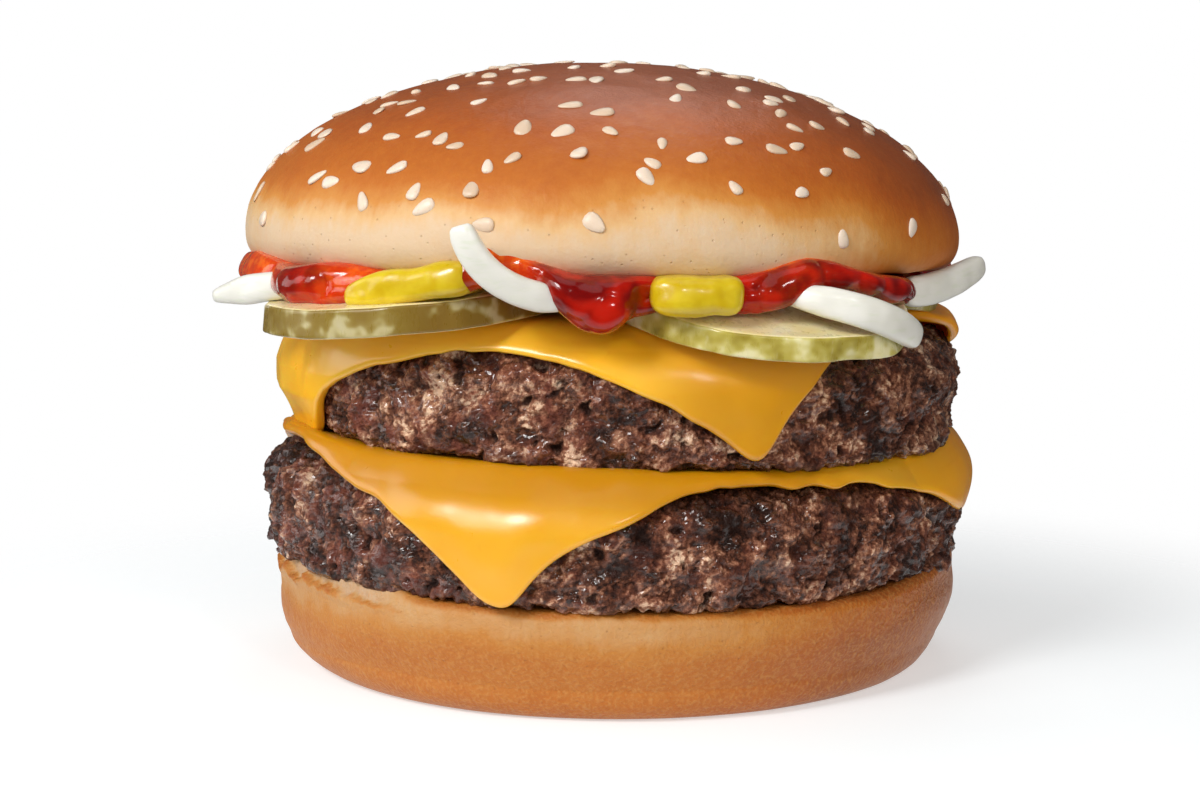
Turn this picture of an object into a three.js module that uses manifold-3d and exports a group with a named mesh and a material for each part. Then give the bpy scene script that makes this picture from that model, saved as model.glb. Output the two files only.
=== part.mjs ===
// Double cheeseburger: a seeded bun with two beef patties, two slices of cheese, pickle
// slices, ketchup, mustard and onion slivers.
//
// Millimetres, +Z up. The origin is the centre of the heel's flat base and the front faces
// -Y. An azimuth is an angle round the stack in degrees, 0 at the front and 90 at the right.
// Heights that slope are written as the height over the origin and a fall for each
// millimetre to the right.

import * as THREE from 'three';
import { mergeVertices } from 'three/addons/utils/BufferGeometryUtils.js';
import Module from 'manifold-3d';

const wasm = await Module();
wasm.setup();

// ---------------------------------------------------------------- driving dimensions

const GAP = 0.3; // clearance between neighbouring pieces
const SLICE_GAP = 0.55; // clearance under a slice of cheese, which bends over a rounded rim
const SAUCE_GAP = 0.5; // clearance under the sauces, whose facets are wider
const DEGREE = Math.PI / 180;

const heel = {
  baseRadius: 41.5, // flat underside
  footRadius: 46, // where the rounded foot ends
  footHeight: 4.5,
  rimRadius: 48.3,
  rimRound: 1.6, // rounding of the upper edge
  height: 15.2,
  fall: 0.015,
};

const pattyLower = {
  x: -0.8,
  radius: 49,
  rim: 5, // rounding of the upper and lower edge
  bottom: 15.5,
  bottomFall: 0.015,
  top: 30.6,
  topFall: 0.03,
  slopeFrom: 40, // radius beyond which the top falls away towards the edge
  wave: 0.4,
};

const pattyUpper = {
  x: 0.8,
  radius: 46,
  rim: 5,
  bottom: 33.3,
  bottomFall: 0.03,
  top: 49.2,
  topFall: 0.025,
  slopeFrom: 36,
  wave: 2.1,
};

const EDGE_SLOPE = 0.0154; // fall of a patty's top per square millimetre past slopeFrom
const LUMP = 0.5; // depth of the hollows in a patty's side
const PATTY_WAVES = [
  { count: 3, size: 0.5 },
  { count: 5, size: 0.35 },
];

// Each slice is a square with a corner at each azimuth; a reach is the distance from the
// patty's centre to the slice's edge, measured along the slice as it bends over the rim.
const cheeseLower = {
  patty: pattyLower,
  thickness: 1.9,
  sideReach: 47.6,
  corners: [
    { azimuth: -15.5, reach: 62.6 },
    { azimuth: 76, reach: 57 },
    { azimuth: 165, reach: 60 },
    { azimuth: 256, reach: 58.5 },
  ],
};

const cheeseUpper = {
  patty: pattyUpper,
  thickness: 2,
  sideReach: 44.6,
  corners: [
    { azimuth: 22, reach: 60 },
    { azimuth: 112, reach: 58 },
    { azimuth: 204, reach: 60 },
    { azimuth: 297, reach: 59.2 },
  ],
};

const SLICE_HALF = 45; // half the side of the uncurved slice
const SLICE_CORNER = 4; // its corner radius

const PICKLE_THICKNESS = 3.3;
const pickles = [
  { name: 'pickle_front_left', x: -26, y: -27, radius: 20.5 },
  { name: 'pickle_front_right', x: 17.5, y: -30.5, radius: 20.5 },
  { name: 'pickle_back_right', x: 26, y: 11.5, radius: 20 },
  { name: 'pickle_back_left', x: -21, y: 21, radius: 21 },
];

const crown = {
  x: -1.8,
  radius: 50.7,
  bottom: 57.6,
  edgeRadius: 47.6, // where the flat underside ends
  widest: 61.4, // height of the widest ring
  apex: 84.7,
  fall: 0.012,
  sag: 1.1, // how much lower the left and right ends lie than the front and back
  shift: 0.9, // how far the apex sits to the left of the widest ring
};

const SAUCE_FLOW = 0.9; // how far sauce bulges past the plain outline at mid height
const ketchup = {
  reach: 42,
  lobes: [
    { azimuth: -60, halfWidth: 19, size: 8.5 },
    { azimuth: -8, halfWidth: 15, size: 9.5 },
    { azimuth: 36, halfWidth: 17, size: 8.5 },
    { azimuth: 104, halfWidth: 17, size: 7.5 },
    { azimuth: 166, halfWidth: 20, size: 8.5 },
    { azimuth: 232, halfWidth: 17, size: 7.5 },
  ],
};
const mustards = [
  { name: 'mustard_front_left', azimuth: -33, reach: 50, width: 20, length: 15 },
  { name: 'mustard_front_right', azimuth: 13.5, reach: 51, width: 13, length: 13 },
  { name: 'mustard_back_right', azimuth: 136, reach: 49.5, width: 16, length: 14 },
  { name: 'mustard_back_left', azimuth: 200, reach: 50, width: 18, length: 14 },
];

// A sliver runs from its hidden end through the middle to its free end.
const onions = [
  {
    name: 'onion_left',
    path: [[-37, -33.5, 56], [-45.5, -28.5, 54.4], [-54.6, -21, 53]],
    width: 3.8,
    thickness: 2.6,
  },
  {
    name: 'onion_front',
    path: [[-5, -48.5, 55], [-14.5, -53.2, 57], [-19.8, -53.8, 64.2]],
    width: 4.1,
    thickness: 2.6,
  },
  {
    name: 'onion_front_right',
    path: [[18, -46.5, 55.4], [29, -47.4, 54], [39, -38.5, 49.4]],
    width: 4.3,
    thickness: 2.8,
  },
  {
    name: 'onion_right',
    path: [[38.6, -23.5, 53.7], [44.5, -19.5, 54.1], [52, -12, 56.6]],
    width: 3.8,
    thickness: 2.8,
  },
  {
    name: 'onion_back',
    path: [[6, 40, 54.9], [15, 48, 54.2], [27, 50, 52.2]],
    width: 4,
    thickness: 2.6,
  },
];

const SEGMENTS = 40; // facets round a bun, patty or slice
const PICKLE_SEGMENTS = 20;
const SAUCE_SEGMENTS = 42;
const SAUCE_RINGS = [0, 0.6, 0.76, 0.88, 1];
const DOLLOP_SEGMENTS = 14;
const DOLLOP_RINGS = [0, 0.5, 0.97];
const SLIVER_SEGMENTS = 8;
const RIM_STEPS = 2;

// ---------------------------------------------------------------- working surfaces

const clamp01 = (value) => Math.min(1, Math.max(0, value));

function mix(a, b, share) {
  return a + (b - a) * share;
}

// Height of a sloping level at x.
function level(height, fall, x) {
  return height - fall * x;
}

// Radius of a patty at an azimuth: a circle with a few shallow waves.
function pattyRadius(patty, azimuth) {
  let radius = patty.radius;
  for (const { count, size } of PATTY_WAVES) {
    radius += size * Math.sin(count * azimuth * DEGREE + patty.wave * count);
  }
  return radius;
}

// Fall of a patty's top towards its edge, at a distance from its centre.
function edgeFall(patty, distance) {
  return EDGE_SLOPE * Math.max(0, distance - patty.slopeFrom) ** 2;
}

// Height of the upper slice's top face, carried on past its edge: what the toppings lie on.
function toppingFloor(x, y) {
  const patty = pattyUpper;
  const distance = Math.hypot(x - patty.x, y);
  const slice = SLICE_GAP + cheeseUpper.thickness;
  return level(patty.top, patty.topFall, x) + slice - edgeFall(patty, distance);
}

// Height of the crown's underside.
function crownFloor(x) {
  return level(crown.bottom, crown.fall, x) - crown.sag * ((x - crown.x) / crown.radius) ** 2;
}

// ---------------------------------------------------------------- making solids

// A body turned round the Z axis from a profile of [radius, height] pairs, whose vertices are
// then moved: place(azimuth, radius, height) gives the final [x, y, z].
function turned(profile, segments, place) {
  const points = profile.map(([radius, height]) => new THREE.Vector2(radius, height));
  const geometry = new THREE.LatheGeometry(points, segments);
  const position = geometry.attributes.position;
  for (let i = 0; i < position.count; i += 1) {
    const azimuth = (Math.floor(i / points.length) % segments) * (360 / segments);
    const { x: radius, y: height } = points[i % points.length];
    position.setXYZ(i, ...place(azimuth, radius, height));
  }
  geometry.computeVertexNormals();
  return geometry;
}

// Points of a quarter turn about (radius, height) from angle to angle + 90 degrees.
function quarter(radius, height, width, rise, angle, steps) {
  const points = [];
  for (let i = 0; i <= steps; i += 1) {
    const turn = (angle + (90 * i) / steps) * DEGREE;
    points.push([radius + width * Math.cos(turn), height + rise * Math.sin(turn)]);
  }
  return points;
}

// A manifold solid of a geometry, with shared vertices merged and empty triangles dropped.
function solidOf(geometry) {
  const bare = geometry.clone();
  bare.deleteAttribute('normal');
  bare.deleteAttribute('uv');
  const merged = mergeVertices(bare, 1e-4);
  const triangles = [];
  for (let i = 0; i < merged.index.count; i += 3) {
    const [a, b, c] = [0, 1, 2].map((corner) => merged.index.getX(i + corner));
    if (a !== b && b !== c && c !== a) {
      triangles.push(a, b, c);
    }
  }
  const mesh = new wasm.Mesh({
    numProp: 3,
    vertProperties: new Float32Array(merged.attributes.position.array),
    triVerts: new Uint32Array(triangles),
  });
  return new wasm.Manifold(mesh);
}

// The geometry left after cutting away a list of other geometries, without loose crumbs.
function carved(geometry, cutters) {
  let solid = solidOf(geometry);
  for (const cutter of cutters) {
    solid = solid.subtract(solidOf(cutter));
  }
  const bodies = solid.decompose().sort((a, b) => b.volume() - a.volume());
  const { vertProperties, triVerts } = bodies[0].getMesh();
  const result = new THREE.BufferGeometry();
  result.setAttribute('position', new THREE.BufferAttribute(vertProperties, 3));
  result.setIndex(new THREE.BufferAttribute(triVerts, 1));
  result.computeVertexNormals();
  return result;
}

// ---------------------------------------------------------------- the pieces

function heelGeometry() {
  const shoulder = heel.height - heel.rimRound;
  const foot = quarter(
    heel.baseRadius, heel.footHeight, heel.footRadius - heel.baseRadius, heel.footHeight, -90, 3,
  );
  const edge = quarter(
    heel.rimRadius - heel.rimRound, shoulder, heel.rimRound, heel.rimRound, 0, 2,
  );
  const profile = [[0, 0], ...foot, [(heel.footRadius + heel.rimRadius) / 2 + 0.3, 9], ...edge];
  profile.push([0, heel.height]);
  return turned(profile, SEGMENTS, (azimuth, radius, height) => {
    const x = radius * Math.sin(azimuth * DEGREE);
    const y = -radius * Math.cos(azimuth * DEGREE);
    return [x, y, height - heel.fall * x * (height / heel.height)];
  });
}

// A patty: rounded edges, a top that falls away near the edge, a wavy outline and shallow
// hollows in its side.
function pattyGeometry(patty) {
  const thickness = patty.top - patty.bottom;
  const inner = patty.radius - patty.rim;
  const profile = [
    [0, 0],
    [patty.slopeFrom, 0],
    ...quarter(inner, patty.rim, patty.rim, patty.rim, -90, RIM_STEPS),
    [patty.radius, thickness / 2],
    ...quarter(inner, thickness - patty.rim, patty.rim, patty.rim, 0, RIM_STEPS),
    [patty.slopeFrom, thickness],
    [0, thickness],
  ];
  return turned(profile, SEGMENTS, (azimuth, radius, height) => {
    const edge = clamp01((radius - inner) / patty.rim);
    const hollow = LUMP * edge * (1 + Math.sin(azimuth * 0.35 + height) * Math.cos(azimuth * 0.6));
    const grown = pattyRadius(patty, azimuth) - patty.radius;
    const distance = radius + grown * clamp01(radius / inner) - hollow;
    const x = patty.x + distance * Math.sin(azimuth * DEGREE);
    const y = -distance * Math.cos(azimuth * DEGREE);
    const share = height / thickness;
    const bottom = level(patty.bottom, patty.bottomFall, x);
    const top = level(patty.top, patty.topFall, x) - edgeFall(patty, distance);
    return [x, y, mix(bottom, top, share)];
  });
}

// Distance from the centre of the flat slice to its edge, at an angle from a corner: a
// square's straight side, and an arc round the corner.
function sliceEdge(fromCorner) {
  const fromSide = (45 - Math.abs(fromCorner)) * DEGREE;
  const straight = SLICE_HALF / Math.cos(fromSide);
  const centre = (SLICE_HALF - SLICE_CORNER) * Math.SQRT2;
  const across = centre * Math.sin(fromCorner * DEGREE);
  if (Math.abs(across) >= SLICE_CORNER) {
    return straight;
  }
  const arc = centre * Math.cos(fromCorner * DEGREE) + Math.sqrt(SLICE_CORNER ** 2 - across ** 2);
  return Math.min(straight, arc);
}

// How much of the way from the side's reach to the corner's reach a slice extends.
function cornerShare(fromCorner) {
  return (sliceEdge(fromCorner) - SLICE_HALF) / (sliceEdge(0) - SLICE_HALF);
}

// The real azimuth and the reach of a slice, for an azimuth that counts its corners as 0, 90,
// 180 and 270.
function sliceRay(slice, azimuth) {
  const index = Math.floor(azimuth / 90) % 4;
  const from = slice.corners[index];
  const to = slice.corners[(index + 1) % 4];
  const along = azimuth - 90 * index;
  const end = index === 3 ? to.azimuth + 360 : to.azimuth;
  const corner = along < 45 ? from : to;
  const share = cornerShare(along < 45 ? along : 90 - along);
  return {
    azimuth: mix(from.azimuth, end, along / 90),
    reach: mix(slice.sideReach, corner.reach, share),
  };
}

// A slice of cheese lying on a patty and bent down over its rim. A profile radius of 0 to 1
// covers the flat middle and 1 to 2 the bend and the part that hangs; a profile height of 0
// is the underside and 1 the top face.
function cheeseGeometry(slice) {
  const { patty, thickness } = slice;
  const slopeStart = patty.slopeFrom / (patty.radius - patty.rim);
  const underside = [0, slopeStart, 1, 1.17, 1.34, 1.52, 1.74, 2].map((station) => [station, 0]);
  const topFace = [2, 1.55, 1.25, 1, slopeStart, 0].map((station) => [station, 1]);
  return turned([...underside, [2.03, 0.5], ...topFace], SEGMENTS, (turn, station, side) => {
    const { azimuth, reach } = sliceRay(slice, turn);
    const inner = pattyRadius(patty, azimuth) - patty.rim;
    const lift = SLICE_GAP + thickness * side;
    const run = Math.max(0, station - 1) * (reach - inner);
    const bendLength = (patty.rim + SLICE_GAP + thickness / 2) * 90 * DEGREE;
    const bend = Math.min(1, run / bendLength) * 90 * DEGREE;
    const hang = Math.max(0, run - bendLength);
    const distance = Math.min(1, station) * inner + (patty.rim + lift) * Math.sin(bend);
    const x = patty.x + distance * Math.sin(azimuth * DEGREE);
    const y = -distance * Math.cos(azimuth * DEGREE);
    const fall = edgeFall(patty, Math.min(distance, inner + patty.rim));
    const drop = patty.rim - (patty.rim + lift) * Math.cos(bend) + hang;
    return [x, y, level(patty.top, patty.topFall, x) - fall - drop];
  });
}

// A round pickle slice that lies on the cheese and follows its fall; extra grows it for use
// as a cutter.
function pickleGeometry(pickle, extra = 0) {
  const half = PICKLE_THICKNESS / 2 + extra;
  const round = 1.2;
  const radius = pickle.radius + extra;
  const rings = [0, 0.35, 0.68].map((share) => share * radius);
  const profile = [
    ...rings.map((ring) => [ring, -half]),
    ...quarter(radius - round, round - half, round, round, -90, 1),
    ...quarter(radius - round, half - round, round, round, 0, 1),
    ...rings.map((ring) => [ring, half]).reverse(),
  ];
  return turned(profile, PICKLE_SEGMENTS, (azimuth, distance, height) => {
    const x = pickle.x + distance * Math.sin(azimuth * DEGREE);
    const y = pickle.y - distance * Math.cos(azimuth * DEGREE);
    return [x, y, toppingFloor(x, y) + GAP + PICKLE_THICKNESS / 2 + height];
  });
}

// A layer of sauce between the cheese and the crown: outline(azimuth) is its reach about
// (x, y), and its rim bulges at mid height. Its underside has a ring at each of the shares.
function sauceGeometry(x0, y0, segments, shares, outline, extra = 0) {
  const underside = shares.map((share) => [share, 0]);
  const profile = [...underside, [1.02, 0.5], [0.95, 1], [0.6, 1], [0, 1]];
  return turned(profile, segments, (azimuth, share, height) => {
    const bulge = SAUCE_FLOW * Math.max(0, share - 1);
    const distance = (outline(azimuth) + extra) * share + bulge;
    const x = x0 + distance * Math.sin(azimuth * DEGREE);
    const y = y0 - distance * Math.cos(azimuth * DEGREE);
    const floor = toppingFloor(x, y) + SAUCE_GAP - extra;
    const roof = crownFloor(x) - GAP + extra;
    return [x, y, mix(floor, roof, height)];
  });
}

function angleBetween(a, b) {
  return Math.abs(((((a - b) % 360) + 540) % 360) - 180);
}

// Reach of the ketchup: a plain circle with a smooth lobe at each place where it oozes out.
function ketchupOutline(azimuth) {
  let reach = ketchup.reach;
  for (const lobe of ketchup.lobes) {
    const share = clamp01(1 - angleBetween(azimuth, lobe.azimuth) / lobe.halfWidth);
    reach += lobe.size * (1 - (1 - share) ** 2) * (share > 0 ? 1 : 0);
  }
  return reach;
}

// A dollop of mustard: a rounded patch that ends at its reach from the crown's centre.
function mustardGeometry(mustard, extra = 0) {
  const turn = mustard.azimuth * DEGREE;
  const distance = mustard.reach - mustard.length / 2;
  const x0 = crown.x + distance * Math.sin(turn);
  const y0 = -distance * Math.cos(turn);
  return sauceGeometry(x0, y0, DOLLOP_SEGMENTS, DOLLOP_RINGS, (azimuth) => {
    const local = (azimuth - mustard.azimuth) * DEGREE;
    const across = Math.sin(local) / (mustard.width / 2);
    const along = Math.cos(local) / (mustard.length / 2);
    return 1 / Math.hypot(across, along);
  }, extra);
}

// An onion sliver: a flattened bar along a smooth path with blunt, narrowed ends. Its width
// stands upright at the free end and lies along the rim at the hidden end.
function onionGeometry(onion, extra = 0) {
  const curve = new THREE.CatmullRomCurve3(onion.path.map((point) => new THREE.Vector3(...point)));
  const stations = [0, 0.04, 0.15, 0.3, 0.45, 0.6, 0.75, 0.88, 0.96, 1];
  const profile = stations.map((along) => {
    const narrowing = 1 - Math.abs(2 * along - 1) ** 6 * 0.45;
    const closed = along === 0 || along === 1;
    return [closed ? 0 : narrowing, along];
  });
  const outward = new THREE.Vector3(onion.path[1][0], onion.path[1][1], 0).normalize();
  return turned(profile, SLIVER_SEGMENTS, (azimuth, size, along) => {
    const point = curve.getPoint(along);
    const tangent = curve.getTangent(along);
    const thick = outward.clone().addScaledVector(tangent, -outward.dot(tangent)).normalize();
    const wide = new THREE.Vector3().crossVectors(thick, tangent);
    const halfThick = (onion.thickness / 2 + extra) * size;
    const halfWide = (onion.width / 2 + extra) * size;
    point.addScaledVector(thick, halfThick * Math.sin(azimuth * DEGREE));
    point.addScaledVector(wide, halfWide * Math.cos(azimuth * DEGREE));
    point.addScaledVector(tangent, extra * Math.sign(2 * along - 1));
    return [point.x, point.y, point.z];
  });
}

// The crown: a flat underside, a rounded lower edge and a half ellipse over it.
function crownGeometry() {
  const edge = quarter(
    crown.edgeRadius, crown.widest, crown.radius - crown.edgeRadius,
    crown.widest - crown.bottom, -90, 3,
  );
  const dome = quarter(0, crown.widest, crown.radius, crown.apex - crown.widest, 0, 8);
  const profile = [[0, crown.bottom], [crown.edgeRadius * 0.6, crown.bottom], ...edge];
  profile.push(...dome.slice(1, -1), [0, crown.apex]);
  return turned(profile, SEGMENTS, (azimuth, radius, height) => {
    const share = clamp01((height - crown.bottom) / (crown.apex - crown.bottom));
    const x = crown.x - crown.shift * share + radius * Math.sin(azimuth * DEGREE);
    const y = -radius * Math.cos(azimuth * DEGREE);
    return [x, y, height + (crownFloor(x) - crown.bottom) * (1 - share)];
  });
}

// ---------------------------------------------------------------- assembly

const group = new THREE.Group();

function add(name, geometry, color, roughness) {
  const material = new THREE.MeshStandardMaterial({ color, roughness, metalness: 0 });
  const mesh = new THREE.Mesh(geometry, material);
  mesh.name = name;
  group.add(mesh);
}

const onionCutters = onions.map((onion) => onionGeometry(onion, GAP));
const pickleCutters = pickles.map((pickle) => pickleGeometry(pickle, GAP));
const mustardCutters = mustards.map((mustard) => mustardGeometry(mustard, GAP));

add('bun_heel', heelGeometry(), 0xc98e52, 0.7);
add('patty_lower', pattyGeometry(pattyLower), 0x5a3a2e, 0.6);
add('cheese_lower', cheeseGeometry(cheeseLower), 0xe8a41a, 0.35);
add('patty_upper', pattyGeometry(pattyUpper), 0x5a3a2e, 0.6);
add('cheese_upper', cheeseGeometry(cheeseUpper), 0xe8a41a, 0.35);
for (const pickle of pickles) {
  add(pickle.name, pickleGeometry(pickle), 0x9a9a3c, 0.4);
}
for (const mustard of mustards) {
  const geometry = carved(mustardGeometry(mustard), [...pickleCutters, ...onionCutters]);
  add(mustard.name, geometry, 0xe6c42c, 0.3);
}
const ketchupBody = sauceGeometry(crown.x, 0, SAUCE_SEGMENTS, SAUCE_RINGS, ketchupOutline);
add(
  'ketchup',
  carved(ketchupBody, [...pickleCutters, ...onionCutters, ...mustardCutters]),
  0xa81410,
  0.25,
);
for (const onion of onions) {
  add(onion.name, onionGeometry(onion), 0xeeeee4, 0.35);
}
add('bun_crown', carved(crownGeometry(), onionCutters), 0xb5652f, 0.45);

export default group;
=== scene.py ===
"""The looks of a double cheeseburger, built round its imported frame.

Shapes are worked out in millimetres with +Z up, the origin at the centre of the heel's flat
base and the front towards -Y, and become metres when a mesh is made. An azimuth is the angle
round the stack, 0 at the front and 90 degrees at the right. A salt is a whole number that picks
one noise's pattern.
"""

import itertools
import math

import bpy
import numpy as np
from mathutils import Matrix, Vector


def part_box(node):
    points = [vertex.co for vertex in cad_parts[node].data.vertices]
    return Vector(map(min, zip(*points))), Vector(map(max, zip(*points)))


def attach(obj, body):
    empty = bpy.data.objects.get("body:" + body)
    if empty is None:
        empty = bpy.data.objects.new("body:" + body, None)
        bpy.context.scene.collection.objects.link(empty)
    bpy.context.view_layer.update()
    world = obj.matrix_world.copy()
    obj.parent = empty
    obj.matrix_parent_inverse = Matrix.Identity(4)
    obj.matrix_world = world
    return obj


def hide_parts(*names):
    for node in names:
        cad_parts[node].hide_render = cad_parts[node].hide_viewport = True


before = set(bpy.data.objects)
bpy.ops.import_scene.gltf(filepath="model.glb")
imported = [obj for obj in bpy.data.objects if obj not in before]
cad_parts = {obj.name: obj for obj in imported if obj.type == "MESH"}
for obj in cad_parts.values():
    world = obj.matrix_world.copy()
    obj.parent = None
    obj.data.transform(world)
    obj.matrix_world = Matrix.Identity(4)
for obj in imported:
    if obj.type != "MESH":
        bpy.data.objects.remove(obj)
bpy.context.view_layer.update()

MM = 0.001
DEGREE = math.pi / 180


# ------------------------------------------------------------------ numbers in space


CELL_PRIMES = (73856093, 19349663, 83492791)
SALT_PRIME = 2654435761
MIX_PRIMES = (2246822519, 3266489917)
BITS_32 = np.uint64(0xFFFFFFFF)
BITS_24 = np.uint64(0xFFFFFF)
NOISE_GAIN = 1.7  # brings the waves' height to about 1


def rand_cells(cells, salt):
    """A number from 0 to 1 for each whole-number cell (..., 3): its counts times large primes,
    mixed by shifts and products."""
    c = cells.astype(np.int64).astype(np.uint64) * np.array(CELL_PRIMES, np.uint64)
    n = c[..., 0] ^ c[..., 1] ^ c[..., 2] ^ np.uint64(salt * SALT_PRIME & int(BITS_32))
    n = (n & BITS_32) * np.uint64(MIX_PRIMES[0])
    n = (n ^ (n >> np.uint64(15))) & BITS_32
    n = n * np.uint64(MIX_PRIMES[1])
    n = (n ^ (n >> np.uint64(17))) & BITS_24
    return n.astype(float) / (int(BITS_24) + 1)


def noise(points, size, salt=0):
    """Smooth noise from about -1 to 1 with waves of a size in mm: in each cell, the slopes at
    its eight corners blended by 6t^5 - 15t^4 + 10t^3."""
    p = points / size
    base = np.floor(p)
    f = p - base
    fade = f**3 * (f * (f * 6 - 15) + 10)
    total = np.zeros(p.shape[:-1])
    for corner in itertools.product((0, 1), repeat=3):
        c = np.array(corner)
        cell = base + c
        weight = np.prod(np.where(c, fade, 1 - fade), axis=-1)
        for axis in range(3):
            slope = rand_cells(cell, salt * 7 + axis + 1) * 2 - 1
            total += weight * slope * (f - c)[..., axis]
    return total * NOISE_GAIN


def waves(points, *layers):
    """A sum of noises, each given by its height, its size in mm and its salt."""
    return sum(height * noise(points, size, salt) for height, size, salt in layers)


def cells(points, size, salt=0):
    """Scattered seeds, one in each cell of a size in mm: the distance to the nearest and to the
    second nearest, in cells, and the nearest one's own number from 0 to 1."""
    p = points / size
    base = np.floor(p)
    nearest = np.full(p.shape[:-1], np.inf)
    second = nearest.copy()
    number = np.zeros(p.shape[:-1])
    for offset in itertools.product((-1, 0, 1), repeat=3):
        cell = base + np.array(offset)
        seed = np.stack([rand_cells(cell, salt * 11 + axis + 1) for axis in range(3)], -1)
        distance = np.sqrt(((cell + seed - p) ** 2).sum(-1))
        closer = distance < nearest
        second = np.where(closer, nearest, np.minimum(second, distance))
        number = np.where(closer, rand_cells(cell, salt * 11 + 5), number)
        nearest = np.where(closer, distance, nearest)
    return nearest, second, number


def smooth(low, high, value):
    """0 below low, 1 above high, and 3t^2 - 2t^3 between."""
    t = np.clip((value - low) / (high - low), 0, 1)
    return t * t * (3 - 2 * t)


def between(value, start, full, fade, end):
    """0 up to start and from end on, 1 from full to fade, and smooth() on the way."""
    return smooth(start, full, value) * (1 - smooth(fade, end, value))


def mix(a, b, share):
    """a at a share of 0 and b at 1."""
    return a + (b - a) * share


def smooth_max(values, softness):
    """The greatest of several arrays, rounded where they cross: softness * log(sum(exp))."""
    stack = np.stack(values) / softness
    top = stack.max(0)
    return softness * (top + np.log(np.exp(stack - top).sum(0)))


# ------------------------------------------------------------------ meshes


def turn_wrap(azimuth):
    """An azimuth in radians brought to -pi to pi."""
    return (azimuth + math.pi) % (2 * math.pi) - math.pi


def full_turn(count):
    """Evenly spaced angles of a full turn, in radians, starting at 0."""
    return np.arange(count) / count * 2 * math.pi


def around(columns):
    """Evenly spaced azimuths of a full turn, in radians, starting at the back."""
    return full_turn(columns) - math.pi


def unit(vectors):
    """Vectors (..., 3) brought to a length of 1."""
    return vectors / np.linalg.norm(vectors, axis=-1, keepdims=True)


def polar(x0, azimuth, distance, height):
    """Points at a distance from the upright line through (x0, 0)."""
    shape = np.broadcast(azimuth, distance, height)
    x = x0 + distance * np.sin(azimuth)
    y = -distance * np.cos(azimuth)
    return np.stack([np.broadcast_to(v, shape.shape) for v in (x, y, height)], -1)


def signed_volume(points, triangles):
    """A closed surface's volume, negative if its faces point inwards: the sum of a . (b x c) / 6
    over its triangles."""
    a, b, c = (points[triangles[:, i]] for i in range(3))
    return (a * np.cross(b, c)).sum() / 6


def add_object(name, data):
    """A new object for a mesh, light or camera, put in the scene."""
    thing = bpy.data.objects.new(name, data)
    bpy.context.scene.collection.objects.link(thing)
    return thing


def fill_mesh(name, points, faces, finish, attributes=None):
    """An object from points in mm and a list of face arrays of 3 or 4 corners. attributes gives
    a number for each point, by name."""
    mesh = bpy.data.meshes.new(name)
    mesh.vertices.add(len(points))
    mesh.vertices.foreach_set("co", (points * MM).astype(np.float32).ravel())
    corners = np.concatenate([f.ravel() for f in faces])
    sizes = np.concatenate([np.full(len(f), f.shape[1]) for f in faces])
    mesh.loops.add(len(corners))
    mesh.loops.foreach_set("vertex_index", corners.astype(np.int32))
    mesh.polygons.add(len(sizes))
    starts = np.concatenate([[0], np.cumsum(sizes)[:-1]])
    mesh.polygons.foreach_set("loop_start", starts.astype(np.int32))
    mesh.polygons.foreach_set("use_smooth", np.ones(len(sizes), bool))
    for key, values in (attributes or {}).items():
        layer = mesh.attributes.new(key, "FLOAT", "POINT")
        layer.data.foreach_set("value", values.astype(np.float32).ravel())
    mesh.update(calc_edges=True)
    mesh.validate()
    mesh.materials.append(finish)
    return add_object(name, mesh)


def ring_faces(count, columns, first):
    """Faces of a closed surface made of `count` rings, of which the first and last are single
    points, when its points start at index `first`."""
    index = first + 1 + np.arange((count - 2) * columns).reshape(count - 2, columns)
    right = np.roll(index, -1, axis=1)
    quads = np.stack([index[:-1], right[:-1], right[1:], index[1:]], -1).reshape(-1, 4)
    start = np.stack([np.full(columns, first), right[0], index[0]], -1)
    final = first + 1 + (count - 2) * columns
    end = np.stack([np.full(columns, final), index[-1], right[-1]], -1)
    return quads, np.concatenate([start, end])


def loop_faces(rows, columns):
    """Faces of a closed tube whose rows and columns both run on into their first."""
    index = np.arange(rows * columns).reshape(rows, columns)
    right = np.roll(index, -1, axis=1)
    below = np.roll(index, -1, axis=0)
    corner = np.roll(below, -1, axis=1)
    return np.stack([index, right, corner, below], -1).reshape(-1, 4)


def loop_piece(name, points, finish, attributes):
    """One closed tube from an array of loops (rows, columns, 3) in mm."""
    flat = points.reshape(-1, 3)
    quads = loop_faces(*points.shape[:2])
    if signed_volume(flat, np.concatenate([quads[:, :3], quads[:, [0, 2, 3]]])) < 0:
        quads = quads[:, ::-1]
    joined = {k: np.broadcast_to(v, points.shape[:2]).ravel() for k, v in attributes.items()}
    return fill_mesh(name, flat, [quads], finish, joined)


def ring_points(values):
    """The first ring's one point, every point of the middle rings, and the last ring's one."""
    middle = values[1:-1].reshape(-1, *values.shape[2:])
    return np.concatenate([values[:1, 0], middle, values[-1:, 0]])


def ring_piece(name, rings, finish, attributes=None):
    """One closed surface, or several joined in one mesh, from arrays of rings (rings, columns,
    3) in mm whose first and last ring each shrink to a point. Faces are turned outwards."""
    several = rings if isinstance(rings, list) else [rings]
    extras = attributes if isinstance(attributes, list) else [attributes or {}] * len(several)
    points = []
    quads = []
    triangles = []
    first = 0
    for each in several:
        flat = ring_points(each)
        q, t = ring_faces(each.shape[0], each.shape[1], 0)
        every = np.concatenate([t, q[:, :3], q[:, [0, 2, 3]]])
        if signed_volume(flat, every) < 0:
            q = q[:, ::-1]
            t = t[:, ::-1]
        points.append(flat)
        quads.append(q + first)
        triangles.append(t + first)
        first += len(flat)
    joined = {
        key: np.concatenate([ring_points(np.broadcast_to(e[key], r.shape[:2]))
                             for e, r in zip(extras, several)])
        for key in extras[0]
    }
    faces = [np.concatenate(quads), np.concatenate(triangles)]
    return fill_mesh(name, np.concatenate(points), faces, finish, joined)


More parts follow.
